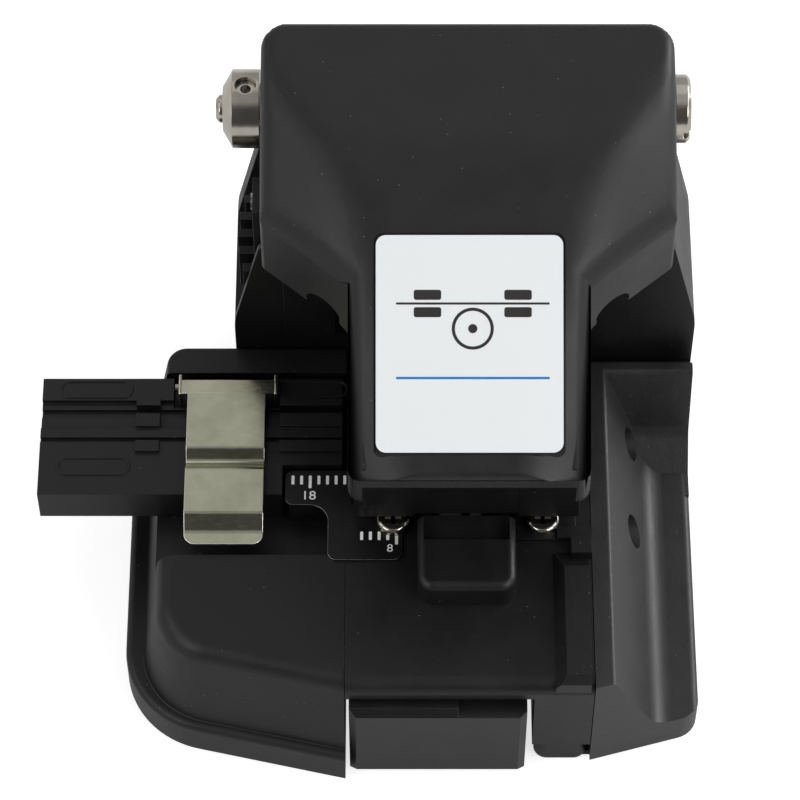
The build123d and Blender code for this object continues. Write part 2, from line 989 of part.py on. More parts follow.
def blade_hub():
    """Two flanges on a sleeve that clamp the blade and turn with it."""
    half = blade_thickness / 2
    hub = rod_x(hub_radius, -half - hub_left, half + hub_right, -blade_rest, blade_z)
    gap = rod_x(hub_radius + overrun, -half, half, -blade_rest, blade_z)
    hub -= gap - rod_x(blade_bore - screw_play, -half, half, -blade_rest, blade_z)
    return hub - rod_x(
        axle_radius + shaft_play, -half - hub_left - overrun, half + hub_right + overrun, -blade_rest, blade_z
    )


def lower_clamp_blocks():
    """Steel rests on the deck, with a raised land for the pads and a pocket for the magnet."""
    blocks = []
    step_rear = -boss_rear + step_depth + seam_gap
    for side, front in ((-1, -lower_front_left), (1, step_rear)):
        low_x, high_x = sorted((side * lower_inner, side * lower_outer))
        piece = block((low_x, front, deck_top), (high_x, lower_rear, deck_top + lower_foot))
        piece += block((low_x, -lower_body_front, deck_top), (high_x, lower_rear, deck_top + lower_body))
        if side > 0:
            piece += block(
                (hood_half + seam_gap, -lower_front_right, deck_top),
                (step_left - seam_gap, step_rear, deck_top + lower_foot),
            )
        centre = side * (lower_inner + lower_outer) / 2
        piece -= rod_z(magnet_radius + magnet_gap, deck_top - overrun, deck_top + overrun, centre, magnet_y)
        if side > 0:
            piece -= rod_z(pan_shank + screw_play, deck_top - overrun, deck_top + overrun, right_screw_x, -deck_screw_y)
        blocks.append(piece)
    return group(*blocks)


def lower_clamp_pads():
    """Rubber pads whose tops carry the fibre."""
    top = fibre_height - fibre_radius
    low = deck_top + lower_body
    return group(
        block((-pad_outer, -pad_half_depth, low), (-pad_inner, pad_half_depth, top)),
        block((pad_inner, -pad_half_depth, low), (pad_outer, pad_half_depth, top)),
    )


def clamp_magnets():
    """Magnets that pull the closed lid's clamps down."""
    centre = (lower_inner + lower_outer) / 2
    return group(*[
        rod_z(magnet_radius, deck_top, deck_top + magnet_height, side * centre, magnet_y) for side in (-1, 1)
    ])


def scale_plate():
    """Thin plate with an upper arm along the adapter and a lower arm on the deck."""
    points = [
        (-scale_left, -scale_rear),
        (-scale_left, -scale_mid),
        (-scale_neck, -scale_mid),
        (-scale_neck, -scale_front),
        (-scale_right, -scale_front),
        (-scale_right, -scale_mid),
        (-scale_overlap_right, -scale_mid),
        (-scale_overlap_right, -scale_rear),
    ]
    radii = [scale_corner, scale_corner, scale_cove, scale_corner, scale_corner, scale_corner, 0, 0]
    plate = upright(outline(points, radii), deck_top, deck_top + scale_thickness)
    return plate - rod_z(
        pan_shank + screw_play, deck_top - overrun, deck_top + overrun, -left_screw_x, -deck_screw_y
    )


def deck_screws():
    """Pan-head screws with a cross recess."""
    screws = []
    for x, seat in ((-left_screw_x, deck_top + scale_thickness), (right_screw_x, deck_top + lower_foot)):
        head = rod_z(pan_radius, seat, seat + pan_height, x, -deck_screw_y)
        head = fillet(head.edges().group_by(Axis.Z)[-1], pan_crown)
        screw = head + rod_z(pan_shank, deck_top - pan_length, seat, x, -deck_screw_y)
        for length, width in ((pan_radius, pan_cross_width), (pan_cross_width, pan_radius)):
            screw -= block(
                (x - length / 2, -deck_screw_y - width / 2, seat + pan_height - pan_cross_depth),
                (x + length / 2, -deck_screw_y + width / 2, seat + pan_height + overrun),
            )
        screws.append(screw)
    return group(*screws)


# Hinge pieces

pin_left_end = -lid_half - washer_thickness - collar_width - collar_cone - pin_proud
pin_head_seat = lid_half + washer_thickness


def hinge_pin():
    """Slotted pin through the tower's lugs and the lid's side walls."""
    shaft = rod_x(pin_radius, pin_left_end, pin_head_seat, hinge_y, hinge_z)
    end = shaft.edges().group_by(Axis.X)[0]
    shaft = chamfer(end, head_chamfer)
    head = rod_x(head_radius, pin_head_seat, pin_head_seat + head_width, hinge_y, hinge_z)
    head = chamfer(head.edges().group_by(Axis.X)[-1], head_chamfer)
    slot = block(
        (pin_head_seat + head_width - head_slot_depth, hinge_y - head_radius - overrun, hinge_z - head_slot / 2),
        (pin_head_seat + head_width + overrun, hinge_y + head_radius + overrun, hinge_z + head_slot / 2),
    )
    return shaft + head - slot


def hinge_collar():
    """Collar with a coned outer face and a set screw hole in its top."""
    right = -lid_half - washer_thickness
    left = right - collar_width
    profile = outline([
        (0, right),
        (collar_radius, right),
        (collar_radius, left),
        (collar_nose_radius, left - collar_cone),
        (0, left - collar_cone),
    ])
    turned = revolve(profile, axis=Axis.Y)
    ring = Pos(0, hinge_y, hinge_z) * Rot(0, 0, -90) * turned
    ring -= rod_x(pin_radius + screw_play, left - collar_cone - overrun, right + overrun, hinge_y, hinge_z)
    return ring - rod_z(collar_screw_radius, hinge_z, hinge_z + collar_radius + overrun, left + collar_width / 2, hinge_y)


def collar_set_screw():
    """Set screw sunk in the collar, standing on the pin."""
    x = -lid_half - washer_thickness - collar_width / 2
    low = hinge_z + pin_radius + screw_play
    high = hinge_z + collar_radius - head_chamfer * 2
    screw = rod_z(collar_screw_radius - screw_play, low, high, x, hinge_y)
    return screw - rod_z(collar_screw_radius / 2, high - collar_screw_radius, high + overrun, x, hinge_y)


def hinge_washers():
    """Thin washers between the lid and the collar and head."""
    thin = washer_thickness - screw_play
    rings = []
    for left in (-lid_half - washer_thickness, lid_half + screw_play):
        ring = rod_x(washer_radius, left, left + thin, hinge_y, hinge_z)
        rings.append(ring - rod_x(pin_radius + screw_play, left - overrun, left + thin + overrun, hinge_y, hinge_z))
    return group(*rings)


def lid_spring():
    """Coil round the pin between the lugs, with a leg that lies under the roof."""
    coil_radius = pin_radius + spring_play + spring_wire
    pitch = 2 * (lug_inner - spring_wire - spring_play) / spring_turns
    height = pitch * spring_turns
    path = Helix(pitch=pitch, height=height, radius=coil_radius)
    start = path @ 0
    section = Plane(origin=start, z_dir=path % 0) * Circle(spring_wire)
    coil = sweep(section, path=path)
    return Pos(-height / 2, hinge_y, hinge_z) * Rot(0, 90, 0) * coil


# Lid

def roof_z(y, wall=0.0):
    """Height of the sloped roof over a place, drawn in by a wall."""
    slope = radians(roof_slope)
    return lid_top - (lid_bend_y - y) * tan(slope) - wall / cos(slope)


def lid_plan(wall):
    """Plan of the lid: a wide rear box that narrows to the tongue."""
    side = lid_half - wall
    tongue = tongue_half - wall
    rear = lid_rear - wall
    rear_round = inner_round(lid_corner, wall)
    return outline(
        [
            (side, rear), (side, lid_shoulder_front), (tongue, tongue_neck),
            (-tongue, tongue_neck), (-side, lid_shoulder_front), (-side, rear),
        ],
        [rear_round, shoulder_round, 0, 0, shoulder_round, rear_round],
    )


def tongue_form(wall):
    """The lid's tongue with rounded top edges, drawn in by a wall thickness."""
    half = tongue_half - wall
    front = -tongue_front + wall
    corner = inner_round(tongue_corner, wall)
    plan = outline(
        [(half, lid_bend_y), (half, front), (-half, front), (-half, lid_bend_y)], [0, corner, corner, 0]
    )
    form = upright(plan, tongue_ear_z - overrun * 2, lid_top + overrun)
    form &= across(lid_side(wall), -lid_half - overrun, lid_half + overrun)
    rounding = inner_round(tongue_round, wall)
    if rounding == 0:
        return form
    rim = form.edges().filter_by(
        lambda e: abs(abs(e.center().X) - half) < corner and abs(e.position_at(0).Y - e.position_at(1).Y) > rounding / 2
    )
    return fillet(rim, rounding)


def lid_side(wall):
    """Side outline of the lid, open downwards where the wall draws it in."""
    top = lid_top - wall
    rear = lid_rear - wall
    front = -tongue_front + wall
    bend = lid_bend_y - wall * tan(radians(roof_slope / 2))
    floor = tongue_ear_z if wall == 0 else tongue_ear_z - overrun
    return outline(
        [(rear, floor), (rear, top), (bend, top), (front, roof_z(front, wall)), (front, floor)],
        [0, inner_round(lid_rear_round, wall), inner_round(lid_bend_round, wall), inner_round(nose_round, wall), 0],
    )


def shoulder_plane(points, wall, side):
    """Plane through three points of the shoulder, mirrored to a side and moved in by the wall."""
    first, second, third = [Vector(side * x, y, z) for x, y, z in points]
    normal = (second - first).cross(third - first).normalized()
    if normal.Z < 0:
        normal = normal * -1
    return Plane(origin=first - normal * wall, z_dir=normal)


def lid_form(wall):
    """Lid as a solid form, drawn in by a wall thickness."""
    form = upright(lid_plan(wall), tongue_ear_z - overrun * 2, lid_top + overrun)
    form &= across(lid_side(wall), -lid_half - overrun, lid_half + overrun)
    rear_point = (lid_half, crease_rear_y, lid_top)
    bend_point = (crease_front_half, lid_bend_y, lid_top)
    neck_point = (neck_crease_half, neck_crease_y, roof_z(neck_crease_y))
    ridge_point = (lid_half, lid_shoulder_front, ridge_z)
    for side in (-1, 1):
        for corners in ((rear_point, bend_point, ridge_point), (bend_point, neck_point, ridge_point)):
            plane = shoulder_plane(corners, wall, side)
            form = split(form, bisect_by=plane, keep=Keep.BOTTOM)
    return form + tongue_form(wall)


def lid_underside():
    """Room under the lid's lower edge: the parting line, the arc round the hinge and the ears."""
    drop = hinge_z - parting_z
    swing = drop + hinge_swing_gap / 2
    start_y = hinge_y - sqrt(swing ** 2 - drop ** 2)
    end_z = hinge_z - sqrt(swing ** 2 - (lid_rear - hinge_y) ** 2)
    floor = tongue_ear_z - overrun * 3
    ear_rear = -tongue_front + tongue_ear_run
    edges = [
        Line((start_y, parting_z), (tongue_neck + overrun, parting_z)),
        Line((tongue_neck + overrun, parting_z), (ear_rear, tongue_ear_z)),
        Line((ear_rear, tongue_ear_z), (-tongue_front - overrun, tongue_ear_z)),
        Line((-tongue_front - overrun, tongue_ear_z), (-tongue_front - overrun, floor)),
        Line((-tongue_front - overrun, floor), (lid_rear + overrun, floor)),
        Line((lid_rear + overrun, floor), (lid_rear + overrun, end_z)),
        Line((lid_rear + overrun, end_z), (lid_rear, end_z)),
        ThreePointArc((lid_rear, end_z), (hinge_y, hinge_z - swing), (start_y, parting_z)),
    ]
    return across(make_face(Wire(edges)), -lid_half - overrun, lid_half + overrun)


def lid_shell():
    shell = lid_form(0) - lid_form(lid_wall)
    shell -= lid_underside()
    inner = tongue_half - lid_wall
    shell -= block(
        (-inner, -tongue_front - overrun, tongue_ear_z - overrun), (inner, -tongue_front + lid_wall * 2, tongue_lip_z)
    )
    side = lid_half - lid_wall
    shell -= block(
        (-side, lid_rear - lid_wall - overrun, tongue_ear_z), (side, lid_rear + overrun, hinge_z + rear_wall_lift)
    )
    for x in (-arch_x, arch_x):
        shell -= Pos(x, tongue_neck - overrun, parting_z + arch_rise) * Rot(-90, 0, 0) * Cylinder(
            arch_radius, lid_shoulder_front, align=(Align.CENTER, Align.CENTER, Align.MIN)
        )
    shell -= rod_x(pin_radius + shaft_play, -lid_half - overrun, lid_half + overrun, hinge_y, hinge_z)
    shell -= label_pocket()
    shell -= lock_slot()
    return shell


def lock_slot():
    """Slot in the left wall: a mouth that flares to the rear, and a branch to the rear above a lip."""
    half = lock_pin_radius + lock_slot_play
    low = parting_z - overrun
    mouth = outline([
        (lock_pin_y - half, low),
        (lock_pin_y - half, lock_pin_z + half),
        (lock_pin_y + half, lock_pin_z + half),
        (lock_pin_y + half + lock_mouth_flare, low),
    ])
    branch = outline([
        (lock_pin_y, lock_pin_z - half),
        (lock_pin_y + lock_travel + half, lock_pin_z - half),
        (lock_pin_y + lock_travel + half, lock_pin_z + half),
        (lock_pin_y, lock_pin_z + half),
    ])
    left = -lid_half - overrun
    right = -lid_half + lid_wall + overrun
    return across(mouth, left, right) + across(branch, left, right)


def tongue_plane():
    """Plane on the tongue's top, centred on the label."""
    slope = radians(roof_slope)
    y = -label_centre_y
    return Plane(origin=(0, y, roof_z(y)), x_dir=(1, 0, 0), z_dir=(0, -sin(slope), cos(slope)))


def label_outline(inset):
    half_x = label_width / 2 - inset
    half_y = label_length / 2 - inset
    return outline([(-half_x, -half_y), (half_x, -half_y), (half_x, half_y), (-half_x, half_y)], label_corner)


def label_pocket():
    return extrude(tongue_plane().offset(-label_recess) * label_outline(0), amount=label_recess + overrun)


def label_plate():
    return extrude(tongue_plane().offset(-label_recess) * label_outline(label_gap), amount=label_thickness)


def clamp_carriers():
    """Steel blocks under the tongue, wide below and narrow inside the lid."""
    blocks = []
    room = lid_form(lid_wall + roof_gap)
    side_view = outline([
        (-clamp_front, clamp_shoulder - overrun),
        (clamp_rear, clamp_shoulder - overrun),
        (clamp_rear, lid_top),
        (-clamp_front, lid_top),
    ])
    for side in (-1, 1):
        inner, outer, neck = side * clamp_inner, side * clamp_outer, side * clamp_neck_outer
        low = block(
            (min(inner, outer), -clamp_front, clamp_bottom), (max(inner, outer), clamp_rear, clamp_shoulder)
        )
        low = chamfer(low.edges().group_by(Axis.Z)[0], clamp_edge)
        high = across(side_view, min(inner, neck), max(inner, neck)) & room
        piece = low + high
        piece -= rod_x(
            anvil_pin_radius + screw_play,
            min(inner - side * overrun, inner + side * (anvil_pin_reach + screw_play)),
            max(inner - side * overrun, inner + side * (anvil_pin_reach + screw_play)),
            anvil_pivot_y,
            anvil_pivot_z,
        )
        piece -= carrier_screw(side, screw_play)
        blocks.append(piece)
    return group(*blocks)


def carrier_screw(side, play=0.0):
    """Screw that points up, with its head sunk in the step beside the carrier's neck."""
    x = side * (clamp_inner + clamp_neck_outer) / 2
    head_top = clamp_bottom + carrier_screw_head_height + play
    tip = clamp_bottom + carrier_screw_length + play
    head = rod_z(carrier_screw_head + play, clamp_bottom, head_top, x, -carrier_screw_y)
    return head + rod_z(carrier_screw_radius + play, clamp_bottom, tip, x, -carrier_screw_y)


def carrier_screws():
    screws = []
    for side in (-1, 1):
        x = side * (clamp_inner + clamp_neck_outer) / 2
        socket = rod_z(
            carrier_screw_radius,
            clamp_bottom - overrun,
            clamp_bottom + carrier_screw_head_height / 2,
            x,
            -carrier_screw_y,
        )
        screws.append(carrier_screw(side) - socket)
    return group(*screws)


def upper_clamp_pads():
    """Rubber pads that press the fibre from above."""
    low = fibre_height + fibre_radius
    return group(
        block((-pad_outer, -pad_half_depth, low), (-pad_inner, pad_half_depth, clamp_bottom)),
        block((pad_inner, -pad_half_depth, low), (pad_outer, pad_half_depth, clamp_bottom)),
    )


def anvil_pivot_pin():
    reach = clamp_inner + anvil_pin_reach
    return rod_x(anvil_pin_radius, -reach, reach, anvil_pivot_y, anvil_pivot_z)


def anvil_arm():
    """Rocking arm between the clamps: a boss on the pivot and a leg down to the fibre."""
    foot_z = clamp_bottom + anvil_pad_thickness
    leg = outline([
        (-anvil_foot_half, foot_z),
        (anvil_foot_half, foot_z),
        (anvil_foot_half, foot_z + anvil_foot_top),
        (anvil_pivot_y + anvil_boss, anvil_pivot_z),
        (anvil_pivot_y - anvil_boss, anvil_pivot_z),
        (-anvil_foot_half, foot_z + anvil_foot_top),
    ])
    arm = across(leg, -anvil_half, anvil_half)
    arm += rod_x(anvil_boss, -anvil_half, anvil_half, anvil_pivot_y, anvil_pivot_z)
    return arm - rod_x(
        anvil_pin_radius + shaft_play, -anvil_half - overrun, anvil_half + overrun, anvil_pivot_y, anvil_pivot_z
    )


def anvil_pad():
    return block(
        (-anvil_half, -anvil_foot_half, clamp_bottom),
        (anvil_half, anvil_foot_half, clamp_bottom + anvil_pad_thickness),
    )


# Adapter and clip

def pill(x, y):
    """Raised line round a rounded field."""
    half_x = pill_length / 2
    half_y = pill_width / 2
    outer = outline([(-half_x, -half_y), (half_x, -half_y), (half_x, half_y), (-half_x, half_y)], half_y * pill_round_share)
    in_x = half_x - pill_line
    in_y = half_y - pill_line
    inner = outline([(-in_x, -in_y), (in_x, -in_y), (in_x, in_y), (-in_x, in_y)], in_y * pill_round_share)
    ring = extrude(outer, amount=pill_depth * 2) - extrude(inner, amount=pill_depth * 2)
    return Pos(x, y, fibre_height - pill_depth) * ring


pill_round_share = 0.95


def adapter_body():
    """Fibre adapter: a bar with two fibre grooves in a low channel, end bridges and guide ribs."""
    top = fibre_height
    plan = outline([
        (-adapter_left, -adapter_front),
        (-adapter_notch_x, -adapter_front),
        (-adapter_notch_x, -adapter_notch_y),
        (-adapter_right, -adapter_notch_y),
        (-adapter_right, adapter_rear),
        (-adapter_left, adapter_rear),
    ])
    body = upright(plan, pocket_floor + adapter_gap, top)
    channel_floor = top - channel_depth
    body -= block(
        (-adapter_left - overrun, channel_front_y, channel_floor), (-adapter_right + overrun, channel_rear_y, top + overrun)
    )
    body -= block(
        (-adapter_left - overrun, groove_900_y - groove_900_width / 2, channel_floor - groove_depth),
        (-adapter_right + overrun, groove_900_y + groove_900_width / 2, top + overrun),
    )
    for left, right in ((bridge_left, bridge_right), (rib_right_end, adapter_right)):
        body += block(
            (-left, groove_900_y + groove_900_width / 2, channel_floor), (-right, channel_rear_y, top + bridge_height)
        )
        body += block(
            (-left, channel_front_y, channel_floor), (-right, groove_900_y - groove_900_width / 2, top + bridge_height)
        )
        body += block(
            (-left, -bridge_length - groove_250_width / 2, channel_floor),
            (-right, -groove_250_width / 2, top + bridge_height),
        )
    body -= block(
        (-adapter_left - overrun, -groove_250_width / 2, top - groove_depth),
        (-adapter_right + overrun, groove_250_width / 2, top + overrun),
    )
    body += pill(-pill_x, pill_rear_y)
    body += pill(-pill_x, -pill_front_y)
    body += pill(-(rib_right_end + adapter_right) / 2, pill_rear_y)
    ear_left = clip_right + (clip_width + clip_ear_width) / 2 + running_gap
    ear_right = clip_right + (clip_width - clip_ear_width) / 2 - running_gap
    body -= block(
        (-ear_left, clip_pin_y - clip_seat_half, clip_seat_floor), (-ear_right, adapter_rear + overrun, top + overrun)
    )
    pin_room = clip_pin_radius + screw_play
    lug_left = clip_left - clip_lug_width
    lug_right = clip_right + clip_lug_width
    body += block(
        (-lug_left, clip_pin_y - clip_lug_radius, clip_seat_floor - overrun),
        (-lug_right, clip_pin_y + clip_lug_radius, clip_pin_z),
    )
    body += rod_x(clip_lug_radius, -lug_left, -lug_right, clip_pin_y, clip_pin_z)
    body -= rod_x(pin_room, -ear_left, -ear_right, clip_pin_y, clip_pin_z)
    for x in adapter_magnet_xs:
        body -= rod_z(
            adapter_magnet_radius + screw_play,
            pocket_floor,
            pocket_floor + adapter_gap + adapter_magnet_height + screw_play,
            -x,
            adapter_magnet_y,
        )
    return body


adapter_magnet_y = (channel_front_y + adapter_rear) / 2
clip_seat_half = 2.3
clip_seat_depth = 1.7
clip_seat_floor = fibre_height - clip_seat_depth
clip_lug_width = 1.5
clip_lug_radius = 0.9


def adapter_magnets():
    low = pocket_floor + adapter_gap
    return group(*[
        rod_z(adapter_magnet_radius, low, low + adapter_magnet_height, -x, adapter_magnet_y)
        for x in adapter_magnet_xs
    ])


def clip_pin():
    """Pin that the clip turns on, through the adapter's lug."""
    left = clip_right + (clip_width + clip_ear_width) / 2
    right = clip_right + (clip_width - clip_ear_width) / 2
    return rod_x(clip_pin_radius, -left, -right, clip_pin_y, clip_pin_z)


def clip_path_points():
    """Centre line of the clip, seen from the side."""
    half = clip_steel / 2
    flat = fibre_height + clip_flat_z + half
    press = fibre_height + clip_press_z + half
    second = fibre_height + clip_second_z + half
    return [
        (clip_pin_y + clip_rear_run, flat),
        (-clip_press_y + clip_steel * 2, flat),
        (-clip_press_y, press),
        (-clip_land_y, press),
        (-clip_second_y, second),
        (-clip_brow_y, second),
        (-clip_tip_y, second - clip_tip_drop),
    ]


def thick_path(points, thickness):
    """Side view of a bent strip: the path moved half a thickness to each side."""
    path = FilletPolyline(*points, radius=clip_bend)
    return trace(path, line_width=thickness)


def fibre_clip():
    """Spring clip: ears round the pin, a press bend on the fibre and a thumb tab."""
    points = clip_path_points()
    strip = across(thick_path(points, clip_steel), -clip_left, -clip_right)
    tip = strip.edges().filter_by(
        lambda e: abs(e.length - clip_steel) < screw_play and e.center().Y < -clip_brow_y - clip_bend
    )
    strip = fillet(tip, clip_corner)
    flat = points[0][1]
    ear_extra = (clip_ear_width - clip_width) / 2
    ear_front = clip_pin_y - clip_ear_run
    ear_rear = clip_pin_y + clip_rear_run
    wide = block(
        (-clip_left - ear_extra, ear_front, flat - clip_steel / 2),
        (-clip_right + ear_extra, ear_rear, flat + clip_steel / 2),
    )
    clip = strip + wide
    for side_x in (-clip_left - ear_extra, -clip_right + ear_extra - clip_steel):
        ear = block(
            (side_x, ear_front, clip_pin_z - clip_ear_drop), (side_x + clip_steel, ear_rear, flat + clip_steel / 2)
        )
        ear -= rod_x(
            clip_pin_radius + shaft_play, side_x - overrun, side_x + clip_steel + overrun, clip_pin_y, clip_pin_z
        )
        clip += ear
    return clip


clip_ear_drop = 1.0


# Side lock

def lock_slider():
    """Plate with grip ribs of a swelling outline and a strip that rises beside the lid."""
    right = -recess_x - lock_gap
    left = right - lock_plate
    side = outline([
        (lock_front, lock_bottom),
        (lock_rear, lock_bottom),
        (lock_rear, lock_plate_top),
        (lock_strip_rear, lock_plate_top),
        (lock_strip_rear, lock_strip_top),
        (lock_strip_front, lock_strip_top),
        (lock_strip_front, lock_plate_top),
        (lock_front, lock_plate_top),
    ])
    body = across(side, left, right)
    middle = (lock_ribs - 1) / 2
    for place in range(lock_ribs):
        y = lock_front + lock_rib_width / 2 + place * lock_rib_pitch
        bulge = lock_rib_bulge * (1 - ((place - middle) / middle) ** 2)
        body += block(
            (left - lock_rib_proud - bulge, y - lock_rib_width / 2, lock_rib_bottom),
            (left + lock_plate / 2, y + lock_rib_width / 2, lock_rib_top),
        )
    for z in rivet_heights:
        room = rivet_radius + running_gap
        body -= block(
            (left - overrun, rivet_y - room - lock_travel, z - room), (right + overrun, rivet_y + room, z + room)
        )
    return body - rod_x(lock_pin_radius + screw_play, left - overrun, right + overrun, lock_pin_y, lock_pin_z)


def lock_pin():
    right = -lid_half + lid_wall / 2
    return rod_x(lock_pin_radius, -recess_x - lock_gap - lock_plate, right, lock_pin_y, lock_pin_z)


nodes = {
    "base_plate": base_plate,
    "rubber_mat": rubber_mat,
    "centre_frame": centre_frame,
    "rear_housing": rear_housing,
    "left_wing": left_wing,
    "right_wing": right_wing,
    "linear_rails": linear_rails,
    "lower_clamp_blocks": lower_clamp_blocks,
    "lower_clamp_pads": lower_clamp_pads,
    "clamp_magnets": clamp_magnets,
    "scale_plate": scale_plate,
    "deck_screws": deck_screws,
    "base_screws": base_screws,
    "hinge_pin": hinge_pin,
    "hinge_collar": hinge_collar,
    "collar_set_screw": collar_set_screw,
    "hinge_washers": hinge_washers,
    "lid_spring": lid_spring,
    "lock_rivets": lock_rivets,
    "lid_shell": lid_shell,
    "label_plate": label_plate,
    "clamp_carriers": clamp_carriers,
    "upper_clamp_pads": upper_clamp_pads,
    "carrier_screws": carrier_screws,
    "anvil_pivot_pin": anvil_pivot_pin,
    "anvil_arm": anvil_arm,
    "anvil_pad": anvil_pad,
    "slider_block": slider_block,
    "blade_carriage": blade_carriage,
    "rail_runners": rail_runners,
    "carriage_screws": carriage_screws,
    "blade_axle": blade_axle,
    "blade_lock_screw": blade_lock_screw,
    "blade_wheel": blade_wheel,
    "blade_hub": blade_hub,
    "adapter_body": adapter_body,
    "adapter_magnets": adapter_magnets,
    "clip_pin": clip_pin,
    "fibre_clip": fibre_clip,
    "lock_slider": lock_slider,
    "lock_pin": lock_pin,
}

os.makedirs("parts", exist_ok=True)
for name, make in nodes.items():
    export_step(make(), f"parts/{name}.step")
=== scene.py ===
import bpy, bmesh, json, math
from mathutils import Matrix, Vector, Euler


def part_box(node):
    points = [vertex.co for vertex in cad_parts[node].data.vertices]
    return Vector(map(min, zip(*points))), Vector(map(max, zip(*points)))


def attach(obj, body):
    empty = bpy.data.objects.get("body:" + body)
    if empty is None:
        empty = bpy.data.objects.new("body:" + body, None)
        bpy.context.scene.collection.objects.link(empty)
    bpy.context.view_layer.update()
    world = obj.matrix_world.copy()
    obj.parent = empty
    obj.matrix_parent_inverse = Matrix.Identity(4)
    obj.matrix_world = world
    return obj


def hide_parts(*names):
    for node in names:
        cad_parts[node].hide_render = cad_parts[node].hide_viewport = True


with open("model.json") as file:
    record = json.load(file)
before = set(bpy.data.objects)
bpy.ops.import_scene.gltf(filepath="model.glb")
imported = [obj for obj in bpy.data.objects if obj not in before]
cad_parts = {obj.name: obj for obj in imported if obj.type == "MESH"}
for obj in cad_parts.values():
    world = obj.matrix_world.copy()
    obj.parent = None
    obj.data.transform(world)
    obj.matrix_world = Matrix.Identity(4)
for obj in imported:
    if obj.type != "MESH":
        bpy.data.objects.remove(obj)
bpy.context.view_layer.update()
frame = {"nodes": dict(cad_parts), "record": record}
NODES = frame["nodes"]
RECORD = frame["record"]
SLOT = {p["node"]: p["material_slot"] for p in RECORD["subparts"]}
BODY = {n: b for b, ns in RECORD["behaviour"]["bodies"].items() for n in ns}
MM = 0.001


# Camera, fitted to the photograph

CAMERA_PLACE = (-0.0076, -0.2277, 0.3931)
CAMERA_TILT = 32.0
CAMERA_LENS = 168.975

cam_data = bpy.data.cameras.new("camera")
cam_data.sensor_width = 36.0
cam_data.lens = CAMERA_LENS
cam_data.clip_start = 0.01
cam_data.clip_end = 20.0
cam_data.dof.use_dof = False
cam = bpy.data.objects.new("camera", cam_data)
bpy.context.scene.collection.objects.link(cam)
cam.location = CAMERA_PLACE
cam.rotation_euler = Euler((math.radians(CAMERA_TILT), 0, 0))
bpy.context.scene.camera = cam


# Materials

class Graph:
    """Small helper that adds and joins shader nodes."""

    def __init__(self, name):
        self.mat = bpy.data.materials.new(name)
        self.mat.use_nodes = True
        self.tree = self.mat.node_tree
        self.bsdf = self.tree.nodes["Principled BSDF"]
        self.coord = self.tree.nodes.new("ShaderNodeTexCoord").outputs["Object"]

    def node(self, kind, **values):
        n = self.tree.nodes.new(kind)
        for key, value in values.items():
            if key in n.inputs:
                n.inputs[key].default_value = value
            else:
                setattr(n, key, value)
        return n

    def link(self, a, b):
        self.tree.links.new(a, b)

    def placed(self, squash):
        """Object coordinates stretched along the axes."""
        if not squash:
            return self.coord
        m = self.node("ShaderNodeMapping")
        m.inputs["Scale"].default_value = squash
        self.link(self.coord, m.inputs["Vector"])
        return m.outputs["Vector"]

    def noise(self, scale, detail=4.0, rough=0.55, squash=None):
        n = self.node("ShaderNodeTexNoise", Scale=scale, Detail=detail, Roughness=rough)
        self.link(self.placed(squash), n.inputs["Vector"])
        return n.outputs["Fac"]

    def cells(self, scale):
        """Scattered points: how far the nearest one is, and a random number for it."""
        n = self.node("ShaderNodeTexVoronoi", Scale=scale)
        self.link(self.coord, n.inputs["Vector"])
        pick = self.node("ShaderNodeSeparateColor")
        self.link(n.outputs["Color"], pick.inputs["Color"])
        return n.outputs["Distance"], pick.outputs["Red"]

    def ramp(self, fac, low, high, a, b):
        """Maps a factor from low..high to a..b."""
        n = self.node("ShaderNodeMapRange")
        n.inputs["From Min"].default_value = low
        n.inputs["From Max"].default_value = high
        n.inputs["To Min"].default_value = a
        n.inputs["To Max"].default_value = b
        n.clamp = True
        self.link(fac, n.inputs["Value"])
        return n.outputs["Result"]

    def mix(self, fac, a, b):
        """Blends two colours by a factor."""
        n = self.node("ShaderNodeMix", data_type="RGBA")
        self.link(fac, n.inputs["Factor"])
        for side, value in (("A", a), ("B", b)):
            socket = [s for s in n.inputs if s.name == side and s.type == "RGBA"][0]
            if hasattr(value, "links"):
                self.link(value, socket)
            else:
                socket.default_value = (*value, 1)
        return [s for s in n.outputs if s.type == "RGBA"][0]

    def math(self, operation, a, b):
        n = self.node("ShaderNodeMath", operation=operation)
        for i, value in enumerate((a, b)):
            if hasattr(value, "links"):
                self.link(value, n.inputs[i])
            else:
                n.inputs[i].default_value = value
        return n.outputs[0]

    def bump(self, height, distance, strength=1.0, under=None):
        n = self.node("ShaderNodeBump", Strength=strength, Distance=distance)
        self.link(height, n.inputs["Height"])
        if under is not None:
            self.link(under, n.inputs["Normal"])
        return n.outputs["Normal"]


SPECK_COLOUR = (0.16, 0.16, 0.165)
SPECK_CELLS = 1300
MOTTLE_SCALE = 180
STREAK_SCALE = 900
SCRATCH_SCALE = 2400


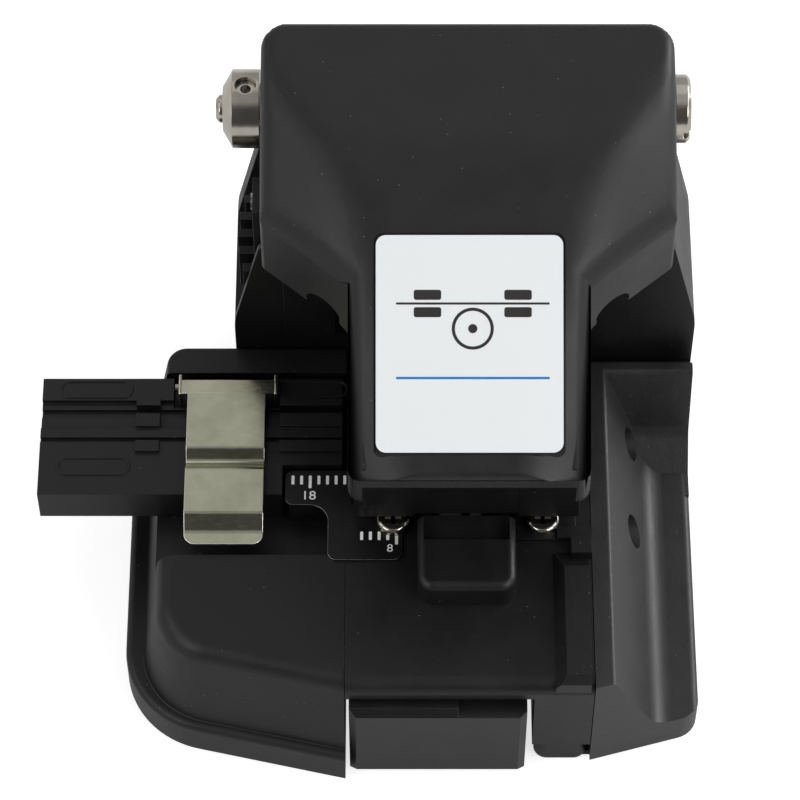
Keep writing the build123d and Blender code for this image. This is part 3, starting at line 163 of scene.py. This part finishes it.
def coat(name, colour, light, rough, grain, depth, specks=0.10, specular=0.37):
    """Sprayed coat: pebble grain, faint mottling, and scattered pale specks."""
    g = Graph(name)
    mottle = g.noise(MOTTLE_SCALE, 3, 0.6)
    base = g.mix(g.ramp(mottle, 0.35, 0.7, 0, 1), colour, light)
    near, pick = g.cells(SPECK_CELLS)
    spot = g.ramp(near, 0.06, 0.13, 1, 0)
    chosen = g.ramp(pick, 1 - specks, 1 - specks * 0.6, 0, 1)
    dot = g.math("MULTIPLY", spot, chosen)
    base = g.mix(g.math("MULTIPLY", dot, 0.7), base, SPECK_COLOUR)
    g.link(base, g.bsdf.inputs["Base Color"])
    fine = g.noise(grain, 3, 0.6)
    uneven = g.math("ADD", mottle, g.math("MULTIPLY", fine, 0.5))
    g.link(g.ramp(uneven, 0.5, 1.0, rough - 0.05, rough + 0.06), g.bsdf.inputs["Roughness"])
    coarse = g.bump(g.noise(grain * 0.3, 2, 0.5), depth * 1.8, 0.6)
    g.link(g.bump(fine, depth, 0.8, coarse), g.bsdf.inputs["Normal"])
    g.bsdf.inputs["Specular IOR Level"].default_value = specular
    return g.mat


def metal(name, colour, dark, rough, spread, brush, bump, scratch=0.3, patch=260):
    """Bare or plated metal with a brushed or mottled roughness."""
    g = Graph(name)
    g.bsdf.inputs["Metallic"].default_value = 1.0
    stain = g.noise(patch, 5, 0.6)
    g.link(g.mix(g.ramp(stain, 0.35, 0.72, 0, 1), colour, dark), g.bsdf.inputs["Base Color"])
    lines = g.noise(STREAK_SCALE, 4, 0.6, brush)
    scratches = g.noise(SCRATCH_SCALE, 2, 0.5, (0.25, 3.5, 1))
    scored = g.math("MULTIPLY", g.ramp(scratches, 0.66, 0.72, 0, 1), scratch)
    worn = g.math("ADD", lines, scored)
    g.link(g.ramp(worn, 0.3, 0.95, rough - spread, rough + spread), g.bsdf.inputs["Roughness"])
    g.link(g.bump(lines, bump, 0.5), g.bsdf.inputs["Normal"])
    return g.mat


def rubber():
    """Matt black rubber with a fine grain."""
    g = Graph("rubber")
    fine = g.noise(2600, 3, 0.6)
    tone = g.ramp(g.noise(300, 4), 0.3, 0.7, 0, 1)
    shade = g.mix(tone, (0.014, 0.014, 0.015), (0.024, 0.024, 0.025))
    g.link(shade, g.bsdf.inputs["Base Color"])
    g.link(g.ramp(fine, 0.3, 0.7, 0.72, 0.9), g.bsdf.inputs["Roughness"])
    g.link(g.bump(fine, 0.00003, 0.8), g.bsdf.inputs["Normal"])
    g.bsdf.inputs["Specular IOR Level"].default_value = 0.3
    return g.mat


def label_film():
    """White film with a thin clear coat."""
    g = Graph("label_film")
    tone = g.ramp(g.noise(60, 2), 0.3, 0.7, 0, 1)
    shade = g.mix(tone, (0.865, 0.895, 0.905), (0.875, 0.905, 0.915))
    g.link(shade, g.bsdf.inputs["Base Color"])
    g.link(g.ramp(g.noise(700, 3), 0.3, 0.7, 0.40, 0.46), g.bsdf.inputs["Roughness"])
    g.link(g.bump(g.noise(420, 2), 0.000003, 0.2), g.bsdf.inputs["Normal"])
    g.bsdf.inputs["Coat Weight"].default_value = 0.15
    g.bsdf.inputs["Coat Roughness"].default_value = 0.3
    return g.mat


def ink(name, colour, rough):
    """Printed ink that is a little thin in places."""
    g = Graph(name)
    thin = g.ramp(g.noise(2200, 3), 0.35, 0.7, 0, 1)
    g.link(g.mix(thin, colour, [c * 0.86 for c in colour]), g.bsdf.inputs["Base Color"])
    uneven = g.ramp(g.noise(900, 3), 0.3, 0.7, rough - 0.05, rough + 0.05)
    g.link(uneven, g.bsdf.inputs["Roughness"])
    return g.mat


MATERIALS = {
    "cast": coat(
        "cast", (0.0062, 0.0062, 0.0067), (0.0082, 0.0082, 0.0088),
        rough=0.43, grain=3400, depth=0.000018,
    ),
    "lid_coat": coat(
        "lid_coat", (0.0105, 0.0106, 0.0116), (0.0132, 0.0133, 0.0146),
        rough=0.43, grain=3400, depth=0.000018,
    ),
    # Lighter copy of the casting coat with more pale specks: painted sparkle and painted brightness
    # for the right wing, where strong light from the right falls
    "painted_sparkle_coat": coat(
        "painted_sparkle_coat", (0.015, 0.015, 0.0157), (0.024, 0.024, 0.025),
        rough=0.44, grain=2800, depth=0.000026, specks=0.22, specular=0.52,
    ),
    "adapter_coat": coat(
        "adapter_coat", (0.0058, 0.0058, 0.0066), (0.0083, 0.0083, 0.0091),
        rough=0.40, grain=5200, depth=0.000010, specks=0.05,
    ),
    "blacked_steel": coat(
        "blacked_steel", (0.0058, 0.0058, 0.0064), (0.0082, 0.0082, 0.0088),
        rough=0.38, grain=4800, depth=0.000006, specks=0.04,
    ),
    "scale_coat": coat(
        "scale_coat", (0.0040, 0.0040, 0.0047), (0.0055, 0.0055, 0.0062),
        rough=0.36, grain=5200, depth=0.000004, specks=0.04,
    ),
    "steel": metal(
        "steel", (0.43, 0.43, 0.415), (0.28, 0.28, 0.27),
        rough=0.30, spread=0.08, brush=(8, 1, 1), bump=0.000003,
    ),
    "nickel": metal(
        "nickel", (0.56, 0.53, 0.47), (0.40, 0.37, 0.32),
        rough=0.20, spread=0.06, brush=(1, 6, 6), bump=0.000002,
    ),
    "clip_steel": metal(
        "clip_steel", (0.45, 0.455, 0.345), (0.35, 0.345, 0.255),
        rough=0.20, spread=0.07, brush=(1, 3, 1), bump=0.000003, scratch=0.4,
    ),
    "carbide": metal(
        "carbide", (0.50, 0.51, 0.52), (0.36, 0.37, 0.38),
        rough=0.24, spread=0.06, brush=(1, 4, 4), bump=0.000002,
    ),
    "rubber": rubber(),
    "label_film": label_film(),
}
# Near-white metal for the clip's bevelled edges: a painted highlight along its rims
CLIP_EDGE_HIGHLIGHT = metal(
    "clip_edge_painted_highlight", (0.98, 0.97, 0.88), (0.80, 0.78, 0.66),
    rough=0.42, spread=0.08, brush=(1, 1, 1), bump=0.000003, patch=900,
)
CUT_EDGE = metal(
    "cut_edge", (0.50, 0.50, 0.49), (0.16, 0.16, 0.16),
    rough=0.34, spread=0.08, brush=(1, 1, 1), bump=0.000004, scratch=0.4, patch=900,
)
INK_WHITE = ink("ink_white", (0.93, 0.93, 0.91), 0.5)
INK_BLUE = ink("ink_blue", (0.015, 0.22, 0.62), 0.35)
INK_BLACK = ink("ink_black", (0.026, 0.022, 0.022), 0.4)


# CAD nodes: each is shown by a merged, smooth-shaded copy with softened edges

# Pieces whose finish differs from the one their material slot stands for; the right wing's lighter,
# more specked coat is painted sparkle and painted brightness from the strong light on that side
FINISH_AND_PAINTED_SPARKLE = {"lower_clamp_blocks": "blacked_steel", "lid_shell": "lid_coat", "right_wing": "painted_sparkle_coat"}

MERGE_REACH = 2e-7
FLAT_ANGLE = 0.2


def merged(node):
    """A CAD node's mesh with its doubles merged and its flat faces joined."""
    bm = bmesh.new()
    bm.from_mesh(NODES[node].data)
    bmesh.ops.remove_doubles(bm, verts=bm.verts, dist=MERGE_REACH)
    bmesh.ops.dissolve_degenerate(bm, edges=bm.edges, dist=MERGE_REACH / 2)
    bmesh.ops.dissolve_limit(
        bm, angle_limit=math.radians(FLAT_ANGLE), use_dissolve_boundaries=False,
        verts=bm.verts, edges=bm.edges, delimit=set(),
    )
    return bm


def shown(node, bm, angle, bevel, edge_material=None):
    """Finished piece that stands for a node, with its edges rounded."""
    for face in bm.faces:
        face.smooth = True
        face.material_index = 0
    for edge in bm.edges:
        edge.smooth = len(edge.link_faces) == 2 and edge.calc_face_angle(0) < math.radians(angle)
    mesh = bpy.data.meshes.new(node + "_mesh")
    bm.to_mesh(mesh)
    bm.free()
    obj = bpy.data.objects.new(node + "_shown", mesh)
    bpy.context.scene.collection.objects.link(obj)
    mesh.materials.append(MATERIALS[FINISH_AND_PAINTED_SPARKLE.get(node, SLOT[node])])
    if edge_material:
        mesh.materials.append(edge_material)
    if bevel:
        mod = obj.modifiers.new("edge", "BEVEL")
        mod.width = bevel * MM
        mod.segments = 3
        mod.limit_method = "ANGLE"
        mod.angle_limit = math.radians(angle)
        mod.use_clamp_overlap = True
        mod.miter_outer = "MITER_ARC"
        if edge_material:
            mod.material = 1
    mod = obj.modifiers.new("shading", "WEIGHTED_NORMAL")
    mod.mode = "FACE_AREA"
    mod.keep_sharp = True
    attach(obj, BODY[node])
    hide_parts(node)


def rounded(bm, geom, offset, segments):
    """Rounds edges of a mesh that is being made."""
    bmesh.ops.bevel(
        bm, geom=geom, offset=offset, offset_type="OFFSET", segments=segments, profile=0.5,
        affect="EDGES", clamp_overlap=True, material=-1,
    )


# Lid: the same shell, with the soft edges that its casting has

LID_HALF = 23.2
LID_FRONT = -17.0
LID_REAR = 32.0
LID_TOP = 58.5
LID_BEND = 12.15
LID_SHOULDER = 9.8
LID_CORNER = 3.2
TONGUE_HALF = 13.35
TONGUE_NECK = 1.4
ROOF_RISE = 17.1 / 30.05
RIM_ROUND = 1.6
SHOULDER_ROUND = 2.0
FACET_ROUND = 1.6
BEND_ROUND = 3.0
RIDGE_ROUND = 1.7
POCKET_HALF = 10.6
POCKET_FRONT, POCKET_REAR = -16.5, 6.0
ROOF_SKIN = 1.5
SLICE_STEP = 0.6
RIM_SLICES = (0.1, 0.26, 0.44)
SHOULDER_SLICES = (0.1, 0.26, 0.5, 0.85, 1.3)
SHOULDER_RUN = LID_HALF - TONGUE_HALF
SHOULDER_RISE = LID_SHOULDER - TONGUE_NECK


def roof(y):
    """Height of the sloping roof at a place along the lid."""
    return LID_TOP - (LID_BEND - y) * ROOF_RISE


def plane_height(first, second, third):
    """Height over a place of the plane through three points."""
    a, b, c = Vector(first), Vector(second), Vector(third)
    n = (b - a).cross(c - a)
    return lambda x, y: a.z - (n.x * (x - a.x) + n.y * (y - a.y)) / n.z


RIDGE = (LID_HALF, LID_SHOULDER, LID_TOP - 6.5)
BEND_END = (14.6, LID_BEND, LID_TOP)
REAR_FACET = plane_height((LID_HALF, 25.5, LID_TOP), BEND_END, RIDGE)
FRONT_FACET = plane_height(BEND_END, (13.0, 5.3, roof(5.3)), RIDGE)


def soft_min(a, b, reach):
    """Lower of two values, rounded where they are within a reach of each other."""
    overlap = max(reach - abs(a - b), 0.0)
    return min(a, b) - overlap * overlap / (4 * reach)


def crisp_height(x, y):
    """Height of the roof with its creases."""
    x = abs(x)
    return min(LID_TOP, roof(y), REAR_FACET(x, y), FRONT_FACET(x, y))


def soft_height(x, y):
    """The same height with the creases rounded."""
    x = abs(x)
    facets = soft_min(REAR_FACET(x, y), FRONT_FACET(x, y), FACET_ROUND)
    middle = soft_min(LID_TOP, roof(y), BEND_ROUND)
    return soft_min(middle, facets, RIDGE_ROUND)


def shoulder_reach(x, y):
    """Distance from the shoulder's slanting front."""
    across = (y - TONGUE_NECK) * SHOULDER_RUN - (x - TONGUE_HALF) * SHOULDER_RISE
    return across / math.hypot(SHOULDER_RUN, SHOULDER_RISE)


def rim_drop(reach, radius):
    """How far a rounded rim lies under the face it starts from."""
    if reach >= radius:
        return 0.0
    inside = radius - max(reach, 0.0)
    return radius - math.sqrt(max(radius * radius - inside * inside, 0.0))


def lid_height(x, y):
    """Height of the soft roof, falling away at the rims."""
    x = abs(x)
    side = LID_HALF - x
    rear = LID_REAR - y
    if side < LID_CORNER and rear < LID_CORNER:
        side = LID_CORNER - math.hypot(LID_CORNER - side, LID_CORNER - rear)
    front = max(shoulder_reach(x, y), TONGUE_HALF - x)
    return soft_height(x, y) - max(rim_drop(side, RIM_ROUND), rim_drop(front, SHOULDER_ROUND))


def roof_faces(bm):
    """Faces of the lid's outer top."""
    found = []
    for face in bm.faces:
        c = face.calc_center_median() / MM
        level = crisp_height(c.x, c.y)
        over_pocket = abs(c.x) < POCKET_HALF and POCKET_FRONT < c.y < POCKET_REAR
        in_pocket = over_pocket and c.z < level - 0.2
        if face.normal.z > 0.12 and c.z > level - ROOF_SKIN and not in_pocket:
            found.append(face)
    return found


def slice_roof(bm, point, normal):
    """Cuts the roof's faces along a plane, so that they can follow a curve."""
    faces = roof_faces(bm)
    edges = {e for f in faces for e in f.edges}
    verts = {v for f in faces for v in f.verts}
    bmesh.ops.bisect_plane(
        bm, geom=[*verts, *edges, *faces], dist=1e-7, plane_co=Vector(point) * MM, plane_no=normal
    )


def soft_lid():
    """Lid whose roof is lowered to the soft height."""
    bm = merged("lid_shell")
    across = [-LID_HALF + SLICE_STEP * i for i in range(1, int(2 * LID_HALF / SLICE_STEP) + 1)]
    across += [s * (LID_HALF - d) for s in (-1, 1) for d in RIM_SLICES]
    along = [LID_FRONT + SLICE_STEP * i for i in range(int((LID_REAR - LID_FRONT) / SLICE_STEP))]
    cuts = [((x, 0, 0), (1, 0, 0)) for x in across]
    cuts += [((0, y, 0), (0, 1, 0)) for y in along]
    length = math.hypot(SHOULDER_RUN, SHOULDER_RISE)
    for s in (-1, 1):
        slant = Vector((-s * SHOULDER_RISE, SHOULDER_RUN, 0)) / length
        foot = Vector((s * TONGUE_HALF, TONGUE_NECK, 0))
        cuts += [(foot + slant * d, slant) for d in SHOULDER_SLICES]
    for point, normal in cuts:
        slice_roof(bm, point, normal)
    for v in {v for f in roof_faces(bm) for v in f.verts}:
        x, y, z = v.co / MM
        if z > crisp_height(x, y) - ROOF_SKIN:
            v.co.z = min(z, lid_height(x, y)) * MM
    return bm


# Left wing: a cove at the foot of the hand rest

COVE = 1.3
COVE_LOW, COVE_HIGH = 5.0, 8.0
COVE_REAR = 8.0


def coved_wing():
    """Left wing with the corner between its wall and its flange filled by a curve."""
    bm = merged("left_wing")
    foot = []
    for edge in bm.edges:
        if len(edge.link_faces) != 2 or edge.is_convex:
            continue
        places = [v.co / MM for v in edge.verts]
        level = all(COVE_LOW < p.z < COVE_HIGH and p.y < COVE_REAR for p in places)
        wall, flange = sorted(edge.link_faces, key=lambda f: abs(f.normal.z))
        if level and wall.normal.z < 0.5 and flange.normal.z > 0.9:
            foot.append(edge)
    rounded(bm, foot, COVE * MM, 6)
    return bm


# Ruler: its neck is wider than the land that carries it

NECK_SHIFT = 2.0
NECK_LEFT, NECK_RIGHT = -16.3, -12.7
NECK_REAR = -8.25
STEP_LEFT, STEP_REAR = -13.5, -8.35


def wide_neck_plate():
    """Ruler with the left side of its neck moved outwards."""
    bm = merged("scale_plate")
    for v in bm.verts:
        x, y, _ = v.co / MM
        under_lid = x > STEP_LEFT and y > STEP_REAR
        if NECK_LEFT < x < NECK_RIGHT and y < NECK_REAR and not under_lid:
            v.co.x -= NECK_SHIFT * MM
    return bm


# Clip: bent strip with a flat, a crease over the groove, a second flat and a thumb tab

CLIP_STEEL = 0.35
CLIP_LEFT, CLIP_RIGHT = -32.4, -23.3
EAR_LEFT, EAR_RIGHT = -33.45, -21.95
EAR_FOOT = 19.3
CLIP_FLAT = 21.25
CLIP_PATH = (
    (7.2, CLIP_FLAT), (-1.9, CLIP_FLAT), (-2.9, 20.15), (-3.75, 20.15),
    (-4.9, CLIP_FLAT), (-10.6, CLIP_FLAT), (-12.3, 19.8), (-14.0, 19.7),
)
BEND_RADIUS = 0.42
TAB_CORNER = 1.3
TAB_END = -13.8


def cuboid(bm, low, high, bevel):
    """Block between two corners, with its edges rounded."""
    made = bmesh.ops.create_cube(bm, size=1.0)["verts"]
    size = [b - a for a, b in zip(low, high)]
    bmesh.ops.scale(bm, verts=made, vec=size)
    bmesh.ops.translate(bm, verts=made, vec=[(a + b) / 2 for a, b in zip(low, high)])
    rounded(bm, list({e for v in made for e in v.link_edges}), bevel, 2)


def bent_clip():
    """Strip swept over the adapter, thickened, rounded at its bends, and eared at the pin."""
    bm = bmesh.new()
    rail = [bm.verts.new((CLIP_LEFT, y, z)) for y, z in CLIP_PATH]
    edges = [bm.edges.new(pair) for pair in zip(rail, rail[1:])]
    swept = bmesh.ops.extrude_edge_only(bm, edges=edges)["geom"]
    far = [v for v in swept if isinstance(v, bmesh.types.BMVert)]
    bmesh.ops.translate(bm, verts=far, vec=(CLIP_RIGHT - CLIP_LEFT, 0, 0))
    bmesh.ops.recalc_face_normals(bm, faces=bm.faces)
    for face in bm.faces:
        if face.normal.z < 0:
            face.normal_flip()
    bmesh.ops.solidify(bm, geom=bm.faces[:], thickness=-CLIP_STEEL)
    bmesh.ops.recalc_face_normals(bm, faces=bm.faces)
    bends = [
        e for e in bm.edges
        if abs(e.verts[0].co.x - e.verts[1].co.x) > 5 and len(e.link_faces) == 2
        and math.radians(3) < e.calc_face_angle(0) < math.radians(75)
    ]
    rounded(bm, bends, BEND_RADIUS, 4)
    tips = []
    for e in bm.edges:
        a, b = e.verts[0].co, e.verts[1].co
        if abs(a.x - b.x) < 0.01 and abs(a.z - b.z) > 0.2 and max(a.y, b.y) < TAB_END:
            tips.append(e)
    rounded(bm, tips, TAB_CORNER, 6)
    top = CLIP_FLAT + CLIP_STEEL
    cuboid(bm, (EAR_LEFT, 5.35, CLIP_FLAT + 0.005), (EAR_RIGHT, 7.25, top + 0.005), 0.08)
    for x in (EAR_LEFT, EAR_RIGHT - CLIP_STEEL):
        low = (x - 0.02, 5.3, EAR_FOOT)
        high = (x + CLIP_STEEL + 0.02, 8.0, top + 0.03)
        cuboid(bm, low, high, 0.12)
    bmesh.ops.scale(bm, verts=bm.verts, vec=(MM, MM, MM))
    return bm


EDGE_ANGLE = 28
LID_EDGE_ANGLE = 40
BEVELS = {
    "lid_shell": 0.18, "centre_frame": 0.25, "rear_housing": 0.4, "left_wing": 0.3,
    "right_wing": 0.45, "slider_block": 0.15, "blade_carriage": 0.12, "adapter_body": 0.06,
    "scale_plate": 0.07, "base_plate": 0.15, "rubber_mat": 0.1, "clamp_carriers": 0.12,
    "lock_slider": 0.12, "lower_clamp_blocks": 0.05, "hinge_collar": 0.1, "hinge_pin": 0.08,
    "anvil_arm": 0.1, "fibre_clip": 0.11,
}
# Materials for the bevelled edges: bare cut metal on the ruler, a painted highlight on the clip
EDGE_BARE_METAL_AND_HIGHLIGHT = {"scale_plate": CUT_EDGE, "fibre_clip": CLIP_EDGE_HIGHLIGHT}
SHAPED = {
    "lid_shell": soft_lid, "left_wing": coved_wing, "scale_plate": wide_neck_plate,
    "fibre_clip": bent_clip,
}
for name in NODES:
    bm = SHAPED[name]() if name in SHAPED else merged(name)
    angle = LID_EDGE_ANGLE if name == "lid_shell" else EDGE_ANGLE
    shown(name, bm, angle, BEVELS.get(name, 0.0), EDGE_BARE_METAL_AND_HIGHLIGHT.get(name))


# Plates that close the hood's well and the front of the clamps

def plate(name, low, high, body, slot, bevel):
    """Thin block that rides on a body."""
    bm = bmesh.new()
    cuboid(bm, low, high, bevel)
    bmesh.ops.scale(bm, verts=bm.verts, vec=(MM, MM, MM))
    for face in bm.faces:
        face.smooth = True
    mesh = bpy.data.meshes.new(name)
    bm.to_mesh(mesh)
    bm.free()
    mesh.materials.append(MATERIALS[slot])
    obj = bpy.data.objects.new(name, mesh)
    bpy.context.scene.collection.objects.link(obj)
    mod = obj.modifiers.new("shading", "WEIGHTED_NORMAL")
    mod.mode = "FACE_AREA"
    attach(obj, body)


plate(
    "hood_floor", (-4.95, -15.1, 20.8), (4.95, -11.05, 21.5),
    BODY["centre_frame"], "cast", 0.1,
)
plate(
    "clamp_front", (-6.0, -10.95, 21.65), (6.0, -9.6, 34.2),
    BODY["clamp_carriers"], "blacked_steel", 0.15,
)


# Print: thin ink on the ruler and the label

INK_THICKNESS = 0.02
FIGURE_WIDTH = 1.05


def bar(bm, centre, size, corner):
    """Flat bar with rounded corners."""
    made = bmesh.ops.create_grid(bm, x_segments=1, y_segments=1, size=0.5)["verts"]
    bmesh.ops.scale(bm, verts=made, vec=(size[0], size[1], 1))
    bmesh.ops.translate(bm, verts=made, vec=(centre[0], centre[1], 0))
    bmesh.ops.bevel(
        bm, geom=made, offset=corner, offset_type="OFFSET", segments=4, profile=0.5,
        affect="VERTICES", material=-1,
    )


def disc(bm, radius):
    """Flat disc."""
    bmesh.ops.create_circle(bm, cap_ends=True, radius=radius, segments=40)


def ring(bm, outer, inner):
    """Flat ring."""
    made = []
    for radius in (outer, inner):
        made += bmesh.ops.create_circle(bm, cap_ends=False, radius=radius, segments=48)["verts"]
    bmesh.ops.bridge_loops(bm, edges=list({e for v in made for e in v.link_edges}))


def numerals(bm, words, centre, height):
    """Plain figures as a flat mesh, centred on a place."""
    curve = bpy.data.curves.new("figures", "FONT")
    curve.body = words
    curve.resolution_u = 4
    obj = bpy.data.objects.new("figures", curve)
    bpy.context.scene.collection.objects.link(obj)
    bpy.context.view_layer.update()
    graph = bpy.context.evaluated_depsgraph_get()
    mesh = bpy.data.meshes.new_from_object(obj.evaluated_get(graph))
    bpy.data.objects.remove(obj)
    before = set(bm.verts)
    bm.from_mesh(mesh)
    verts = [v for v in bm.verts if v not in before]
    low = [min(v.co[i] for v in verts) for i in range(2)]
    high = [max(v.co[i] for v in verts) for i in range(2)]
    middle = [(a + b) / 2 for a, b in zip(low, high)]
    bmesh.ops.translate(bm, verts=verts, vec=(-middle[0], -middle[1], 0))
    size = height / (high[1] - low[1])
    bmesh.ops.scale(bm, verts=verts, vec=(size * FIGURE_WIDTH, size, 1))
    bmesh.ops.translate(bm, verts=verts, vec=(centre[0], centre[1], 0))


def printed(name, bm, place, material, carrier):
    """Gives flat ink a thickness, and lays it on what carries it."""
    bmesh.ops.remove_doubles(bm, verts=bm.verts, dist=1e-4)
    bmesh.ops.recalc_face_normals(bm, faces=bm.faces)
    for face in bm.faces:
        if face.normal.z < 0:
            face.normal_flip()
    top = bmesh.ops.extrude_face_region(bm, geom=bm.faces[:])
    raised = [v for v in top["geom"] if isinstance(v, bmesh.types.BMVert)]
    bmesh.ops.translate(bm, verts=raised, vec=(0, 0, INK_THICKNESS))
    bmesh.ops.recalc_face_normals(bm, faces=bm.faces)
    bmesh.ops.transform(bm, matrix=place @ Matrix.Scale(MM, 4), verts=bm.verts)
    mesh = bpy.data.meshes.new(name)
    bm.to_mesh(mesh)
    bm.free()
    mesh.materials.append(material)
    obj = bpy.data.objects.new(name, mesh)
    bpy.context.scene.collection.objects.link(obj)
    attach(obj, BODY[carrier])


PLATE_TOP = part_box("scale_plate")[1][2]
INK_SINK = 0.004
TICK = 0.34
TICK_CORNER = 0.1
LONG_TICK = 1.7
# Rows of ticks: millimetres from the blade, top, length of a plain tick, the numbered tick
TICK_ROWS = ((range(14, 21), -4.4, 1.2, 18), (range(8, 13), -11.9, 1.1, 8))

marks = bmesh.new()
for places, top, short, numbered in TICK_ROWS:
    for place in places:
        tall = LONG_TICK if place == numbered else short
        bar(marks, (-place, top - tall / 2), (TICK, tall), TICK_CORNER)
numerals(marks, "18", (-18.0, -7.05), 1.15)
numerals(marks, "8", (-8.75, -14.05), 1.0)
ruler_place = Matrix.Translation((0, 0, PLATE_TOP - INK_SINK * MM))
printed("scale_print", marks, ruler_place, INK_WHITE, "scale_plate")

LABEL_Y = -5.2
LABEL_SINK = 0.054
LABEL_MIDDLE = 0.35
LINE_LENGTH = 16.8

label_place = Matrix.Translation(Vector((0, LABEL_Y, roof(LABEL_Y))) * MM)
label_place = label_place @ Matrix.Rotation(math.atan(ROOF_RISE), 4, "X")
label_place = label_place @ Matrix.Translation((0, 0, -LABEL_SINK * MM))
rule = bmesh.new()
bar(rule, (LABEL_MIDDLE, -3.75), (LINE_LENGTH, 0.26), 0.08)
printed("label_rule", rule, label_place, INK_BLUE, "label_plate")

# Sign: a fibre held by two pairs of clamps, over the round blade
sign = bmesh.new()
bar(sign, (LABEL_MIDDLE, 4.4), (LINE_LENGTH, 0.24), 0.1)
for x in (-4.6, 5.3):
    for y in (5.35, 3.45):
        bar(sign, (x, y), (3.0, 1.1), 0.25)
printed("label_sign", sign, label_place, INK_BLACK, "label_plate")
wheel = bmesh.new()
ring(wheel, 2.3, 1.95)
disc(wheel, 0.5)
bmesh.ops.translate(wheel, verts=wheel.verts, vec=(LABEL_MIDDLE, 1.65, 0))
printed("label_wheel", wheel, label_place, INK_BLACK, "label_plate")


# Stage

FLOOR_GLOW = 0.72
FLOOR_IN_METAL = 0.2


def sheet(name, size, z):
    """Flat square sheet at a height."""
    mesh = bpy.data.meshes.new(name)
    bm = bmesh.new()
    bmesh.ops.create_grid(bm, x_segments=2, y_segments=2, size=size)
    bmesh.ops.translate(bm, verts=bm.verts, vec=(0, 0, z))
    bm.to_mesh(mesh)
    bm.free()
    obj = bpy.data.objects.new(name, mesh)
    bpy.context.scene.collection.objects.link(obj)
    return obj


def pale_floor():
    """Floor that is white to the eye, dimmer in reflections, and still takes a shadow."""
    g = Graph("floor")
    tone = g.ramp(g.noise(40, 2), 0.3, 0.7, 0, 1)
    g.link(g.mix(tone, (0.62, 0.62, 0.62), (0.64, 0.64, 0.64)), g.bsdf.inputs["Base Color"])
    g.bsdf.inputs["Roughness"].default_value = 0.9
    g.bsdf.inputs["Specular IOR Level"].default_value = 0.0
    path = g.node("ShaderNodeLightPath")
    seen = g.math("ADD", path.outputs["Is Camera Ray"], path.outputs["Is Transmission Ray"])
    mirrored = g.math("MULTIPLY", path.outputs["Is Glossy Ray"], FLOOR_IN_METAL)
    seen = g.math("MINIMUM", g.math("ADD", seen, mirrored), 1.0)
    g.bsdf.inputs["Emission Color"].default_value = (1, 1, 1, 1)
    g.link(g.math("MULTIPLY", seen, FLOOR_GLOW), g.bsdf.inputs["Emission Strength"])
    return g.mat


floor = sheet("floor", 6.0, -0.0001)
floor.data.materials.append(pale_floor())

LAMP_AIM = Vector((0, 0, 0.03))
# Lamps: name, size, radiance, direction from the object, distance
LAMPS = (
    ("front_left", (0.5, 0.5), 2.7, (-0.62, -0.55, 0.56), 1.0),
    ("front_right", (0.5, 0.5), 4.7, (0.62, -0.55, 0.56), 1.0),
    ("left", (0.5, 0.5), 1.25, (-0.80, 0.05, 0.60), 1.0),
    ("right", (0.5, 0.5), 2.3, (0.80, 0.05, 0.60), 1.0),
    ("right_rear", (0.45, 0.4), 6.5, (0.81, 0.50, 0.27), 1.0),
    ("above", (0.9, 0.7), 0.25, (0.0, 0.55, 0.84), 1.1),
)


def softbox(name, size, radiance, direction, distance):
    """Flat lamp of a given brightness, seen from the object in a direction."""
    data = bpy.data.lights.new(name, "AREA")
    data.shape = "RECTANGLE"
    data.size, data.size_y = size
    data.energy = radiance * math.pi * size[0] * size[1]
    obj = bpy.data.objects.new(name, data)
    bpy.context.scene.collection.objects.link(obj)
    obj.location = LAMP_AIM + Vector(direction).normalized() * distance
    obj.rotation_euler = (LAMP_AIM - obj.location).to_track_quat("-Z", "Y").to_euler()


for lamp in LAMPS:
    softbox(*lamp)

DARK_SIDE = (0.0, -0.87, 0.5)
ROOM_LIGHT, ROOM_DARK = 0.45, 0.09


def room():
    """Pale room that is dark low in front, and white where it is seen itself."""
    world = bpy.data.worlds.new("studio")
    bpy.context.scene.world = world
    world.use_nodes = True
    tree = world.node_tree
    back = tree.nodes["Background"]
    back.inputs["Color"].default_value = (1, 1, 1, 1)
    direction = tree.nodes.new("ShaderNodeTexCoord").outputs["Generated"]
    facing = tree.nodes.new("ShaderNodeVectorMath")
    facing.operation = "DOT_PRODUCT"
    tree.links.new(direction, facing.inputs[0])
    facing.inputs[1].default_value = DARK_SIDE
    tone = tree.nodes.new("ShaderNodeMapRange")
    tone.interpolation_type = "SMOOTHSTEP"
    tone.inputs["From Min"].default_value = 0.70
    tone.inputs["From Max"].default_value = 0.95
    tone.inputs["To Min"].default_value = ROOM_LIGHT
    tone.inputs["To Max"].default_value = ROOM_DARK
    tree.links.new(facing.outputs["Value"], tone.inputs["Value"])
    path = tree.nodes.new("ShaderNodeLightPath")
    level = tree.nodes.new("ShaderNodeMath")
    level.operation = "MAXIMUM"
    tree.links.new(tone.outputs["Result"], level.inputs[0])
    tree.links.new(path.outputs["Is Camera Ray"], level.inputs[1])
    tree.links.new(level.outputs[0], back.inputs["Strength"])


room()

bpy.context.scene.view_settings.view_transform = "Standard"
